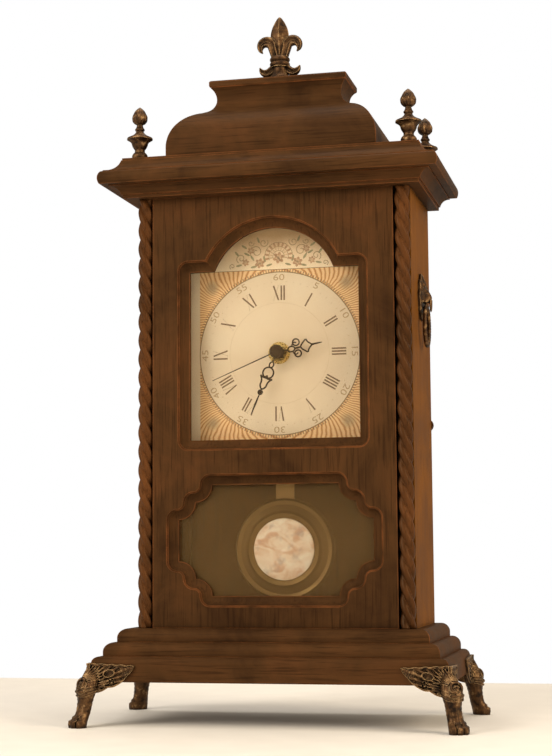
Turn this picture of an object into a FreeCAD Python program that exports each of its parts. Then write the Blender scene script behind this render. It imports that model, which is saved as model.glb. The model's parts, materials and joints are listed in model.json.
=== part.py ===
import FreeCAD, Part
import math
import os

# A bracket clock: a walnut-stained wooden case with rope-twist corner columns, a broken-arch
# dial opening, a scalloped window over the pendulum, cast finials, paw feet and lion ring pulls.
# Millimetres, +Z up, the front faces -Y. The origin lies on the shelf, under the middle of the feet.

Vec = FreeCAD.Vector

# ---------------------------------------------------------------- driving sizes: the case
case_depth = 96.0               # front panel face to door back
case_front_y = -36.0
foot_rail = 22.1                # front panel below the pendulum window
window_rail = 31.8              # front panel between the window and the dial
head_rail = 24.2                # front panel above the arch
side_thickness = 9.0
front_thickness = 9.0
floor_thickness = 6.0
post_depth = 12.0
column_radius = 5.5
column_strands = 3
column_lead = 40.0              # height of one full twist
column_proud = 2.3              # how far a column stands out of the front panel
column_gap = 0.6                # shadow line between column and front panel
column_inset = 0.2              # rope within the side panel's face
post_width = 10.0               # hidden corner posts behind the front panel
column_groove = 1.7             # depth of the grooves between the strands
column_side_facets = 15         # facets round a column
column_step = 45.0              # degrees of twist per facet row

# base, plinth and feet
foot_height = 30.5              # shelf to plinth underside
plinth_height = 17.3
plinth_reach = 25.5             # beyond the case on the front and sides
plinth_round = 4.5
base_height = 18.7
base_bead_reach = 19.0
base_step_reach = 11.2
base_top_reach = 5.0

# cornice, deck and caddy top
fascia_reach = 8.5
fascia_height = 2.4
cove_reach = 16.8
cornice_lower_height = 8.7
lip_height = 9.2
lip_reach = 22.2
lip_bulge = 1.2
deck_height = 11.4
deck_reach = 9.0
deck_cove_reach = 20.0
caddy_height = 57.4
caddy_foot_height = 6.0
caddy_shoulder_height = 37.0    # where the broad round ends
caddy_shoulder_reach = 4.4      # beyond the cap plate
caddy_neck_step = 1.9
caddy_cap_half = 51.0           # half width of the cap plate
caddy_spread = 26.0             # the bell's foot beyond the cap plate
cap_thickness = 4.7
cap_front_y = -13.0
cap_back_y = 30.0

# ---------------------------------------------------------------- front panel openings
glass_half_width = 61.5         # dial opening, at the glass
dial_square_height = 121.2      # sill to shoulders
arch_foot_half = 43.5
arch_rise = 29.8
window_half_width = 70.0
window_height = 78.1
scallop_radius = 12.2
routed_width = 7.3              # width of the moulded edge round the openings
routed_quirk = 1.0              # sharp step where the moulding starts
routed_fillet = 0.9
routed_depth = 6.2
routed_lap = 1.0                # run past a jutting corner, mm or degrees
routed_hair = 0.05
pane_thickness = 2.0
pane_overlap = 5.5              # glass behind the wood, all round
pane_gap = 0.3
clip_reach = 3.5                # tongue over the glass
clip_foot = 1.7
clip_width = 7.0
clip_thickness = 0.8
clip_margin = 12.5              # clips in from the corners of an opening
clip_gap = 0.3                  # between the glass edge and a clip's foot

# ---------------------------------------------------------------- dial and movement
dial_centre_rise = 62.8         # dial centre above the sill of its opening
dial_depth = 24.0               # dial face behind the front panel face
dial_side_margin = 6.5          # dial sheet beyond the opening
dial_low_margin = 10.5
dial_high_margin = 11.5
dial_sheet = 0.8
dial_board_thickness = 4.0
post_clear = 1.0                # beside the corner posts, and beside the dial sheet
spacer_width = 10.0
movement_half = 28.0
movement_drop = 38.0            # pendulum drive below the square time unit
movement_depth = 17.0
movement_wall = 1.6
bush_radius = 4.0
bush_stand = 4.0                # bush end in front of the dial
nut_across = 12.0
nut_thickness = 2.4
washer_radius = 8.0
washer_thickness = 0.5
cushion_thickness = 0.6         # rubber washer between board and movement
hour_tube_radius = 2.6
minute_tube_radius = 1.6
second_pin_radius = 0.6
running_fit = 0.05
hand_thickness = 0.5
hand_spacing = 2.4
hour_hand_length = 32.5
minute_hand_length = 48.0
second_hand_length = 51.0
hour_hand_angle = 79.0          # clockwise from twelve, as the clock was set
minute_hand_angle = 203.6
second_hand_angle = 247.4
cannon_teeth = 12               # motion work: 12 to 36, then 10 to 40, is 12 to 1
minute_wheel_teeth = 36
minute_pinion_teeth = 10
hour_wheel_teeth = 40
gear_centres = 12.0             # distance between the two arbors
gear_arbor_angle = 45.0         # the second arbor lies up and to the right
gear_thickness = 1.2
tooth_root = 0.29               # half a tooth at its root, as a share of the tooth pitch
tooth_tip = 0.10                # and at its tip
battery_radius = 7.1
battery_length = 48.5
battery_drop = 21.0             # cell axis below the dial centre
battery_clear = 0.3
battery_button = 2.6            # radius of the cell's raised end
button_rise = 1.2
contact_half = 4.0
knob_radius = 5.0
knob_length = 4.0

# pendulum
pivot_drop = 39.3               # pivot below the dial centre
pivot_radius = 1.0
hanger_width = 11.0
hanger_thickness = 2.4
hanger_length = 38.0
rod_lap = 7.0                   # rod behind the hanger's foot
hook_width = 3.4
hook_height = 1.6
rod_width = 13.5
rod_thickness = 0.8
bob_drop = 101.0                # bob centre below the pivot
bob_radius = 36.5
bob_thickness = 6.4
bob_disc_radius = 22.4
bob_ring_radius = 25.8
swing_clear = 0.4

# ---------------------------------------------------------------- back door and its fittings
door_thickness = 7.0
door_side_gap = 0.8
door_top_gap = 0.5
stop_width = 6.0
stop_gap = 0.3
hinge_axis_out = 2.7            # pin centre behind the case back
knuckle_radius = 2.4
pin_radius = 1.2
leaf_height = 30.0
leaf_thickness = 1.0
leaf_width = 6.0
hinge_margin = 53.5             # hinge middles in from both ends of the case
knuckle_gap = 0.3
button_drop = 8.0               # turn-button pivot below the middle of the case
button_radius = 4.8
button_length = 17.0
button_width = 6.4
button_thickness = 4.0
button_gap = 0.3
button_side_gap = 1.4           # from the door's edge to the round
screw_radius = 1.5
screw_head_radius = 2.8
screw_head = 1.4

# ---------------------------------------------------------------- cast ornaments
finial_inset = 9.0              # finial axis in from the deck's edge
finial_back_inset = 7.5
finial_front_inset = 14.0
finial_height = 40.5
finial_radius = 9.4             # at the dish
finial_facets = 20
fleur_height = 47.2
fleur_y = -3.0
mask_y = 12.0
mask_rise = 80.9                # mask centre above the middle of the case
mask_half_height = 16.5
mask_half_width = 13.0
mask_depth = 9.0
ring_half_height = 14.2         # the pull is a little taller than wide
ring_half_width = 10.6
ring_bar = 1.6
ring_sides = 24
ring_flats = 6
ring_play = 0.35
jaw_half = 2.8                  # half width of the jaw in front of the ring
foot_wing_length = 32.0
foot_wing_thickness = 2.6
foot_facets = 14
paw_out = 8.3                   # paw beyond the plinth corner, along each axis
leaf_top = 11.6                 # foot's leaf above the plinth underside
leaf_drop = 7.4                 # and below it, at the leg

# ---------------------------------------------------------------- places that follow
dial_half_width = glass_half_width + dial_side_margin
dial_board_half = dial_half_width + post_clear + spacer_width
window_clip_half = window_half_width + pane_overlap + clip_foot
inner_half = max(dial_board_half, window_clip_half) + post_clear + post_width
case_half = inner_half + side_thickness
column_x = case_half - column_radius + column_inset
front_half = column_x - column_gap - column_radius
case_back_y = case_front_y + case_depth
plinth_z = foot_height
base_z = plinth_z + plinth_height
case_z = base_z + base_height
window_sill_z = case_z + foot_rail
window_head_z = window_sill_z + window_height
dial_sill_z = window_head_z + window_rail
dial_shoulder_z = dial_sill_z + dial_square_height
dial_centre_z = dial_sill_z + dial_centre_rise
dial_bottom_z = dial_sill_z - dial_low_margin
dial_top_z = dial_shoulder_z + arch_rise + dial_high_margin
cornice_z = dial_shoulder_z + arch_rise + head_rail
case_height = cornice_z - case_z
lip_z = cornice_z + cornice_lower_height
deck_z = lip_z + lip_height
deck_top_z = deck_z + deck_height
cap_z = deck_top_z + caddy_height
cap_top_z = cap_z + cap_thickness
panel_back_y = case_front_y + front_thickness
column_y = case_front_y + column_radius - column_proud
rabbet_y = column_y + column_radius * 0.72
floor_top_z = case_z + floor_thickness
dial_y = case_front_y + dial_depth
board_y = dial_y + dial_sheet
movement_y = board_y + dial_board_thickness + cushion_thickness
movement_back_y = movement_y + movement_depth
pendulum_y = movement_y + movement_depth / 2
pivot_z = dial_centre_z - pivot_drop
bob_z = pivot_z - bob_drop
door_y = case_back_y - door_thickness
hinge_x = -(inner_half - 0.3)
hinge_heights = (case_z + hinge_margin, cornice_z - hinge_margin)
button_z = case_z + case_height / 2 - button_drop
hinge_y = case_back_y + hinge_axis_out
finial_x = case_half + deck_reach - finial_inset
finial_front_y = case_front_y - deck_reach + finial_front_inset
finial_back_y = case_back_y - finial_back_inset
mask_z = case_z + case_height / 2 + mask_rise
button_x = inner_half - door_side_gap + button_side_gap + button_radius
OVER = 1.0                      # how far a cutter runs past the piece it cuts


# ---------------------------------------------------------------- drawing helpers
def block(x0, x1, y0, y1, z0, z1):
    """A squared piece between two corners."""
    return Part.makeBox(x1 - x0, y1 - y0, z1 - z0, Vec(x0, y0, z0))


def rod(radius, length, at, along):
    """A round bar from a point along a direction."""
    return Part.makeCylinder(radius, length, Vec(*at), Vec(*along))


def tube(outer, inner, length, at, along):
    """A round bar with a bore right through."""
    return rod(outer, length, at, along).cut(rod(inner, length, at, along))


class Outline:
    """An outline drawn edge by edge in a plane; arcs are given by their bulge."""

    def __init__(self, x, z):
        self.at = (x, z)
        self.start = (x, z)
        self.steps = []

    def to(self, x, z):
        self.steps.append((self.at, None, (x, z)))
        self.at = (x, z)
        return self

    def by(self, dx, dz):
        return self.to(self.at[0] + dx, self.at[1] + dz)

    def arc_to(self, x, z, bulge):
        """An arc that bulges to the right of its chord where bulge is positive."""
        x0, z0 = self.at
        run = math.hypot(x - x0, z - z0)
        middle = ((x0 + x) / 2 + bulge * (z - z0) / run, (z0 + z) / 2 - bulge * (x - x0) / run)
        self.steps.append((self.at, middle, (x, z)))
        self.at = (x, z)
        return self

    def arc_by(self, dx, dz, bulge):
        return self.arc_to(self.at[0] + dx, self.at[1] + dz, bulge)

    def edges(self, place):
        made = []
        for start, middle, end in self.steps:
            if middle is None:
                made.append(Part.makeLine(place(*start), place(*end)))
            else:
                made.append(Part.Arc(place(*start), place(*middle), place(*end)).toShape())
        return made

    def face(self, place):
        """The closed outline as a face; an open one is closed by a straight edge."""
        edges = self.edges(place)
        gap = math.hypot(self.at[0] - self.start[0], self.at[1] - self.start[1])
        if gap > 1e-6:
            edges.append(Part.makeLine(place(*self.at), place(*self.start)))
        return Part.Face(Part.Wire(edges))


def board_from(outline, y0, y1):
    """An outline in the front view, cut from board lying between two depths."""
    return outline.face(lambda x, z: Vec(x, y0, z)).extrude(Vec(0, y1 - y0, 0))


def turned(outline, x, y, z):
    """A piece turned about an upright axis; the outline gives radius and height."""
    face = outline.face(lambda r, h: Vec(x + r, y, z + h))
    return face.revolve(Vec(x, y, z), Vec(0, 0, 1), 360)


def turned_on_y(outline, x, z):
    """A piece turned about an axis that runs front to back; radius and depth."""
    face = outline.face(lambda r, y: Vec(x + r, y, z))
    return face.revolve(Vec(x, 0, z), Vec(0, 1, 0), 360)


def skin(rings, capped=True):
    """A faceted solid through rings of points that all have the same count."""
    points = [p for ring in rings for p in ring]
    around = len(rings[0])
    rows = len(rings)
    facets = []
    last = rows - 1 if capped else rows
    for i in range(last):
        low = i * around
        high = ((i + 1) % rows) * around
        for k in range(around):
            n = (k + 1) % around
            facets.append((low + k, low + n, high + n))
            facets.append((low + k, high + n, high + k))
    if capped:
        for ring_start, flip in ((0, True), (last * around, False)):
            hub = len(points)
            ring = points[ring_start:ring_start + around]
            total = Vec(0, 0, 0)
            for p in ring:
                total = total + p
            points.append(total * (1.0 / around))
            for k in range(around):
                a, b = ring_start + k, ring_start + (k + 1) % around
                facets.append((hub, b, a) if flip else (hub, a, b))
    shell = Part.Shape()
    shell.makeShapeFromMesh((points, facets), 0.001)
    solid = Part.makeSolid(shell).removeSplitter()
    if solid.Volume < 0:
        solid.reverse()
    return solid


def moulded_board(section, half, front_y, back_y, low_z, returned=False):
    """A board with one moulded section mitred round it; the back is flush or returned."""
    reach = max(abs(p[0]) for step in section.steps for p in (step[0], step[2])) + 5.0
    low, high = section.start, section.at

    def moulded_side(place, base, way):
        return section.edges(lambda c, z: place(base + way * c, low_z + z))

    def sawn_side(place, base):
        return [Part.makeLine(place(base, low_z + low[1]), place(base, low_z + high[1]))]

    def end_face(place, base0, base1, sawn):
        way = 0 if sawn else 1
        edges = moulded_side(place, base0, -1)
        edges += sawn_side(place, base1) if sawn else moulded_side(place, base1, 1)
        for c, z in (low, high):
            edges.append(Part.makeLine(place(base0 - c, low_z + z), place(base1 + way * c, low_z + z)))
        return Part.Face(Part.Wire(Part.__sortEdges__(edges)))

    across = end_face(lambda x, z: Vec(x, front_y - reach, z), -half, half, False)
    across = across.extrude(Vec(0, back_y - front_y + 2 * reach, 0))
    along = end_face(lambda y, z: Vec(-half - reach, y, z), front_y, back_y, not returned)
    along = along.extrude(Vec(2 * (half + reach), 0, 0))
    return across.common(along)


# ---------------------------------------------------------------- base and feet
def make_plinth():
    section = Outline(plinth_reach - 1.0, 0).by(1.0, 1.0).to(plinth_reach, plinth_height - plinth_round)
    section.arc_by(-plinth_round, plinth_round, plinth_round * 0.29)
    return moulded_board(section, case_half, case_front_y, case_back_y, plinth_z)


def make_base_moulding():
    """Two quarter rounds, the upper set back on a small fillet."""
    round_low = base_bead_reach - base_step_reach - 1.6
    section = Outline(base_bead_reach, 0).by(0, 3.2)
    section.arc_by(-round_low, round_low, round_low * 0.29)
    section.by(-1.6, 0).by(0, 2.6)
    left = base_height - section.at[1]
    section.arc_to(base_top_reach, base_height, left * 0.29)
    return moulded_board(section, case_half, case_front_y, case_back_y, base_z)


def foot_leg(cx, cy, sx, sy):
    """A cabriole leg with a four-toed paw, out along the diagonal from a plinth corner."""
    # height, step out along each axis, half size along and across the diagonal, toe depth
    levels = (
        (foot_height + 13.5, -1.2, 1.5, 3.0, 0.0),
        (foot_height + 9.0, 0.4, 4.2, 6.4, 0.0),
        (foot_height + 2.0, 1.8, 6.2, 8.0, 0.0),
        (foot_height - 5.0, 2.8, 7.4, 7.6, 0.0),
        (foot_height - 12.0, 3.4, 5.6, 5.8, 0.0),
        (foot_height - 20.0, 4.9, 4.9, 5.0, 0.0),
        (7.0, 6.5, 6.0, 5.9, 0.10),
        (3.6, paw_out, 7.6, 7.2, 0.20),
        (0.0, paw_out + 0.2, 7.0, 6.8, 0.20),
    )
    rings = []
    for z, out, along, across, toe in reversed(levels):
        ring = []
        for k in range(foot_facets):
            a = 2 * math.pi * k / foot_facets
            front = max(0.0, math.cos(a))
            swell = 1.0 + toe * front * math.cos(8 * a)
            u = along * swell * math.cos(a)
            v = across * math.sin(a)
            x = out + (u - v) * math.sqrt(0.5)
            y = out + (u + v) * math.sqrt(0.5)
            ring.append(Vec(cx + sx * x, cy + sy * y, z))
        rings.append(ring if sx * sy > 0 else ring[::-1])
    return skin(rings)


def foot_wing():
    """One pierced leaf of a foot, in its own plane: x runs in from the corner, z is height."""
    top, low = foot_height + leaf_top, foot_height - leaf_drop
    leaf = Outline(foot_wing_thickness, low)
    leaf.to(foot_wing_thickness, top + 1.6)
    leaf.arc_to(-foot_wing_length * 0.55, top + 0.9, -0.8)
    leaf.arc_to(-foot_wing_length, top, 1.2)
    leaf.arc_to(-foot_wing_length * 0.86, foot_height + 5.2, 1.0)
    leaf.arc_to(-foot_wing_length * 0.64, foot_height - 1.4, 1.2)
    leaf.arc_to(-foot_wing_length * 0.40, foot_height - 3.6, 0.9)
    leaf.arc_to(-foot_wing_length * 0.12, low, 0.9)
    leaf.to(foot_wing_thickness, low)
    hole = Outline(-foot_wing_length * 0.34, foot_height + 5.4)
    hole.arc_by(-9.0, 2.0, 2.0).arc_by(9.0, -2.0, 2.0)
    return leaf, hole


def make_foot(side, back):
    """A cast paw foot: a leg under the plinth corner and two leaves round it."""
    sx = side
    sy = 1 if back else -1
    cx = side * (case_half + plinth_reach)
    cy = case_back_y if back else case_front_y - plinth_reach
    foot = foot_leg(cx, cy, sx, sy)
    leaf, hole = foot_wing()
    for face_x in (True, False):
        for part, outline in ((0, leaf), (1, hole)):
            if face_x:
                flat = outline.face(lambda u, z: Vec(cx + sx * u, cy, z))
                solid = flat.extrude(Vec(0, sy * foot_wing_thickness, 0))
            else:
                flat = outline.face(lambda u, z: Vec(cx, cy + sy * u, z))
                solid = flat.extrude(Vec(sx * foot_wing_thickness, 0, 0))
            foot = foot.cut(solid) if part else foot.fuse(solid)
    far_x, far_y = cx - sx * foot_wing_length * 2, cy - sy * foot_wing_length * 2
    plinth_room = block(min(cx, far_x), max(cx, far_x), min(cy, far_y), max(cy, far_y), foot_height, base_z)
    return foot.cut(plinth_room).removeSplitter()


def make_foot_screws():
    """One wood screw up through each leg top into the plinth."""
    screws = []
    inset = 6.0
    for sx in (-1, 1):
        for y in (case_front_y - plinth_reach + inset, case_back_y - inset):
            x = sx * (case_half + plinth_reach - inset)
            head = rod(screw_head_radius, screw_head, (x, y, foot_height - screw_head), (0, 0, 1))
            screws.append(head)
    return Part.Compound(screws)


# ---------------------------------------------------------------- case
def make_side_panel(side):
    x0, x1 = sorted((side * inner_half, side * case_half))
    return block(x0, x1, rabbet_y, case_back_y, case_z, cornice_z)


def make_corner_posts():
    posts = []
    for side in (-1, 1):
        x0, x1 = sorted((side * (inner_half - post_width), side * inner_half))
        posts.append(block(x0, x1, panel_back_y, panel_back_y + post_depth, floor_top_z, cornice_z))
    return Part.Compound(posts)


def make_floor_board():
    return block(-inner_half, inner_half, panel_back_y, case_back_y, case_z, floor_top_z)


def make_column(side):
    """A rope-twist column: strands rise to the left on both sides of the case."""
    turns = case_height / column_lead
    steps = round(turns * 360 / column_step)
    per_strand = column_side_facets // column_strands
    rings = []
    for i in range(steps + 1):
        twist = -2 * math.pi * turns * i / steps
        ring = []
        for k in range(column_side_facets):
            phase = (k % per_strand) / per_strand
            r = column_radius - column_groove * (1 - math.sin(math.pi * phase)) ** 1.5
            a = 2 * math.pi * k / column_side_facets + twist
            ring.append(Vec(side * column_x + r * math.cos(a), column_y + r * math.sin(a),
                            case_z + case_height * i / steps))
        rings.append(ring)
    rope = skin(rings)
    rear = block(side * column_x - 9, side * column_x + 9, rabbet_y, rabbet_y + 9,
                 case_z - OVER, cornice_z + OVER)
    return rope.cut(rear)


def dial_opening():
    """The broken-arch outline, anticlockwise as seen from the front."""
    w, foot, shoulder = glass_half_width, arch_foot_half, dial_shoulder_z
    outline = Outline(-w, dial_sill_z).to(w, dial_sill_z).to(w, shoulder).to(foot, shoulder)
    return outline.arc_to(-foot, shoulder, arch_rise).to(-w, shoulder).to(-w, dial_sill_z)


def window_opening():
    """A long octagon whose corners step in by two convex scallops each."""
    w, r = window_half_width, scallop_radius
    flat, low, high = w - 2 * r, window_sill_z, window_head_z
    bulge = -r * (1 - math.sqrt(0.5))
    outline = Outline(-flat, low).to(flat, low)
    outline.arc_by(r, r, bulge).arc_by(r, r, bulge).to(w, high - 2 * r)
    outline.arc_by(-r, r, bulge).arc_by(-r, r, bulge).to(-flat, high)
    outline.arc_by(-r, -r, bulge).arc_by(-r, -r, bulge).to(-w, low + 2 * r)
    return outline.arc_by(r, -r, bulge).arc_by(r, -r, bulge)


def bit_section(at, normal, inside=OVER, deeper=0.0):
    """The routed edge at one point: a quirk, a fillet and a round down to the opening wall."""
    def place(out, deep):
        return Vec(at[0] + normal[0] * out, case_front_y + deep, at[1] + normal[1] * out)
    bit = Outline(-inside, -OVER).to(routed_width, -OVER).to(routed_width, routed_quirk)
    bit.to(routed_width - routed_fillet, routed_quirk)
    round_width = routed_width - routed_fillet
    round_depth = routed_depth - routed_quirk
    floor = routed_depth + deeper
    bit.arc_to(0, floor, 0.21 * math.hypot(round_width, round_depth))
    if inside:
        bit.to(-inside, floor)
    return bit.face(place)


def circle_through(p, m, q):
    """Centre of the circle through three points of a plane."""
    ax, az = m[0] - p[0], m[1] - p[1]
    bx, bz = q[0] - p[0], q[1] - p[1]
    d = 2 * (ax * bz - az * bx)
    a2, b2 = ax * ax + az * az, bx * bx + bz * bz
    return (p[0] + (bz * a2 - az * b2) / d, p[1] + (ax * b2 - bx * a2) / d)


def directions(start, middle, end):
    """Outward directions at both ends of an edge, its centre and its sweep if it is an arc."""
    chord = math.hypot(end[0] - start[0], end[1] - start[1])
    if middle is None:
        normal = ((end[1] - start[1]) / chord, -(end[0] - start[0]) / chord)
        return normal, normal, None, 0.0
    cx, cz = circle_through(start, middle, end)
    radius = math.hypot(start[0] - cx, start[1] - cz)
    turn = (start[0] - cx) * (end[1] - cz) - (start[1] - cz) * (end[0] - cx)
    way = 1 if turn > 0 else -1
    first = (way * (start[0] - cx) / radius, way * (start[1] - cz) / radius)
    final = (way * (end[0] - cx) / radius, way * (end[1] - cz) / radius)
    return first, final, (cx, cz), way * math.degrees(2 * math.asin(chord / (2 * radius)))


def corner_turn(final, follow):
    """Degrees that the outline turns to the left between two edges."""
    return math.degrees(math.atan2(final[0] * follow[1] - final[1] * follow[0],
                                   final[0] * follow[0] + final[1] * follow[1]))


def routed_edge(outline):
    """What a router bit takes off as it follows an opening, round every inner corner."""
    anticlockwise = Vec(0, -1, 0)
    runs = [directions(*step) for step in outline.steps]
    turns = [corner_turn(runs[i][1], runs[(i + 1) % len(runs)][0]) for i in range(len(runs))]
    cuts = []
    for i, (start, middle, end) in enumerate(outline.steps):
        first, final, centre, sweep = runs[i]
        # where the wood juts in, both runs cross the corner and meet in a cusp
        before = routed_lap if turns[i - 1] < -1 else 0.0
        after = routed_lap if turns[i] < -1 else 0.0
        if centre is None:
            run = math.hypot(end[0] - start[0], end[1] - start[1])
            step = ((end[0] - start[0]) / run, (end[1] - start[1]) / run)
            at = (start[0] - before * step[0], start[1] - before * step[1])
            length = run + before + after
            cuts.append(bit_section(at, first).extrude(Vec(length * step[0], 0, length * step[1])))
        else:
            # a hair deeper than the straight runs, so that the cusp has no doubled edge
            bit = bit_section(start, first, OVER, routed_hair if before else 0.0)
            cut = bit.revolve(Vec(centre[0], 0, centre[1]), anticlockwise, sweep + before + after)
            cut.rotate(Vec(centre[0], 0, centre[1]), anticlockwise, -before)
            cuts.append(cut)
        if turns[i] > 1:
            corner = bit_section(end, final, 0)
            cuts.append(corner.revolve(Vec(end[0], 0, end[1]), anticlockwise, turns[i]))
    return cuts


def make_front_panel():
    panel = block(-front_half, front_half, case_front_y, panel_back_y, case_z, cornice_z)
    for opening in (dial_opening(), window_opening()):
        panel = panel.cut(board_from(opening, case_front_y - OVER, panel_back_y + OVER))
        for bite in routed_edge(opening):
            panel = panel.cut(bite)
    return panel


# ---------------------------------------------------------------- cornice and caddy top
def make_cornice_lower():
    """The fascia and cove under the lip."""
    section = Outline(fascia_reach, 0).by(0, fascia_height).by(1.0, 0)
    section.arc_to(cove_reach, cornice_lower_height - 0.8, -1.8).by(0, 0.8)
    return moulded_board(section, case_half, case_front_y, case_back_y, cornice_z)


def make_cornice_lip():
    """The rounded nose of the cornice."""
    section = Outline(lip_reach, 0)
    section.arc_to(lip_reach - 0.2, lip_height - 0.8, lip_bulge).by(-0.9, 0.8)
    return moulded_board(section, case_half, case_front_y, case_back_y, lip_z)


def make_deck_board():
    """The top board, coved back from the lip to a small fillet."""
    section = Outline(deck_cove_reach, 0).by(0, 0.9)
    section.arc_to(deck_reach + 0.6, deck_height - 1.6, -2.2).by(-0.6, 0).by(0, 1.6)
    return moulded_board(section, case_half, case_front_y, case_back_y, deck_z)


def make_caddy_bell():
    """The bell-shaped top: an upright foot, a broad round, a shoulder and a hollow neck."""
    section = Outline(caddy_spread, 0).by(0, caddy_foot_height)
    section.arc_to(caddy_shoulder_reach, caddy_shoulder_height, 6.3)
    section.by(-caddy_neck_step, caddy_neck_step / 2).arc_to(0, caddy_height, -5.6)
    return moulded_board(section, caddy_cap_half, cap_front_y, cap_back_y, deck_top_z, True)


def make_cap_plate():
    section = Outline(0, 0).by(0.4, 0.6).by(0, cap_thickness - 1.6).by(-1.0, 1.0)
    return moulded_board(section, caddy_cap_half, cap_front_y, cap_back_y, cap_z, True)


# ---------------------------------------------------------------- finials
def lathe_steps(start, mouldings):
    """Radius and height up a turning; each moulding rises to its end radius with a swell or hollow."""
    rows = [(start, 0.0)]
    radius, height = start, 0.0
    for rise, end, swell in mouldings:
        cuts = 2 if swell else 1
        for i in range(1, cuts + 1):
            share = i / cuts
            bulge = swell * math.sin(math.pi * share)
            rows.append((radius + (end - radius) * share + bulge, height + rise * share))
        radius, height = end, height + rise
    return rows


def make_corner_finial(side, y):
    """An urn and acorn finial: a ring, an urn, a dish, a bead and a fluted acorn."""
    # rise, end radius and swell of each moulding, from the deck up
    mouldings = ((2.0, 5.4, 0.0), (5.0, 3.7, 1.1), (1.6, 3.7, 0.0), (4.8, 6.0, 0.4), (3.0, finial_radius, -0.5),
                 (1.2, finial_radius - 0.3, 0.0), (4.8, 2.7, -1.2), (2.6, 2.8, 0.7), (2.2, 2.1, 0.0),
                 (1.0, 3.8, 0.0), (3.0, 5.6, 0.3), (4.4, 4.6, 0.4), (4.9, 0.5, 0.5))
    scale = finial_height / sum(rise for rise, radius, swell in mouldings)
    acorn_z = finial_height * 0.71
    rings = []
    for radius, height in lathe_steps(mouldings[0][1], mouldings):
        ring = []
        for k in range(finial_facets):
            a = 2 * math.pi * k / finial_facets
            flute = 1 - 0.06 * (k % 2) * (height * scale > acorn_z)
            r = radius * flute
            ring.append(Vec(side * finial_x + r * math.cos(a), y + r * math.sin(a), deck_top_z + height * scale))
        rings.append(ring)
    return skin(rings)


def petal(route, widths, depth, facets=6):
    """A tapering cast leaf that follows a route of points in the front plane."""
    rings = []
    count = len(route)
    for i, (x, z) in enumerate(route):
        x0, z0 = route[max(0, i - 1)]
        x1, z1 = route[min(count - 1, i + 1)]
        run = math.hypot(x1 - x0, z1 - z0)
        nx, nz = (z1 - z0) / run, -(x1 - x0) / run
        wide = widths[i]
        deep = depth * min(1.0, wide / max(widths) + 0.25)
        ring = []
        for k in range(facets):
            a = 2 * math.pi * k / facets
            across = wide * math.cos(a)
            ring.append(Vec(x + nx * across, fleur_y + deep * math.sin(a), cap_top_z + z + nz * across))
        rings.append(ring)
    return skin(rings)


def arc_points(cx, cz, radius, start, end, count):
    """Points along an arc, angles in degrees anticlockwise from +X."""
    turn = [math.radians(start + (end - start) * i / (count - 1)) for i in range(count)]
    return [(cx + radius * math.cos(a), cz + radius * math.sin(a)) for a in turn]


def make_fleur_finial():
    """A cast fleur-de-lis: a lance, two crescents, a ringed band and a skirt with upturned tips."""
    u = fleur_height / 47.0
    lance_rows = [(14, 5.0), (19, 5.4), (24, 5.2), (29, 5.6), (33.6, 6.6), (38, 5.6), (42, 3.6), (45.6, 1.3),
                  (47, 0.4)]
    fleur = petal([(0, z * u) for z, wide in lance_rows], [wide * u for z, wide in lance_rows], 3.6 * u)
    for side in (-1, 1):
        bend = arc_points(side * 10.2 * u, 24.3 * u, 5.8 * u, 90 + side * 105, 90 - side * 140, 8)
        widths = [w * u for w in (2.6, 2.8, 3.0, 2.9, 2.8, 2.6, 2.1, 1.4, 0.5)]
        fleur = fleur.fuse(petal([(side * 2.6 * u, 16.0 * u)] + bend, widths, 3.0 * u))
        tip = arc_points(side * 11.4 * u, 7.2 * u, 3.8 * u, 270 - side * 45, 270 + side * 105, 5)
        widths = [w * u for w in (3.2, 2.9, 2.5, 2.2, 1.7, 1.1, 0.5)]
        fleur = fleur.fuse(petal([(side * 2.4 * u, 10.5 * u), (side * 5.6 * u, 6.6 * u)] + tip, widths, 3.4 * u))
    band = Outline(0, 9.2 * u).to(6.2 * u, 9.2 * u).to(7.3 * u, 10.4 * u).to(7.3 * u, 15.6 * u)
    band.to(6.0 * u, 16.9 * u).to(0, 16.9 * u)
    fleur = fleur.fuse(turned(band, 0, fleur_y, cap_top_z))
    foot = Outline(0, 0).to(8.0 * u, 0).to(7.6 * u, 1.4 * u).arc_to(4.4 * u, 10 * u, -1.6 * u).to(0, 10 * u)
    return fleur.fuse(turned(foot, 0, fleur_y, cap_top_z)).removeSplitter()


# ---------------------------------------------------------------- dial, glass and movement
def pane(opening_half, low, high):
    """A plain glass pane behind an opening."""
    y = panel_back_y + pane_gap / 3
    return block(-opening_half - pane_overlap, opening_half + pane_overlap, y, y + pane_thickness,
                 low - pane_overlap, high + pane_overlap)


def make_dial_glass():
    return pane(glass_half_width, dial_sill_z, dial_shoulder_z + arch_rise)


def make_window_glass():
    return pane(window_half_width, window_sill_z, window_head_z)


def make_glass_clips():
    """Small bent clips screwed to the back of the panel, four to each pane."""
    clips = []
    glass_y = panel_back_y + pane_gap / 3 + pane_thickness
    panes = ((glass_half_width, dial_sill_z, dial_shoulder_z),
             (window_half_width, window_sill_z, window_head_z))
    for half, low, high in panes:
        edge = half + pane_overlap
        for side in (-1, 1):
            for z in (low + clip_margin, high - clip_margin - clip_width):
                foot = sorted((side * (edge + clip_gap), side * (edge + clip_foot)))
                tongue = sorted((side * (edge - clip_reach), side * (edge + clip_foot)))
                clip = block(foot[0], foot[1], panel_back_y, glass_y + clip_thickness, z, z + clip_width)
                lid = block(tongue[0], tongue[1], glass_y, glass_y + clip_thickness, z, z + clip_width)
                clips.append(clip.fuse(lid).removeSplitter())
    return Part.Compound(clips)


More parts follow.
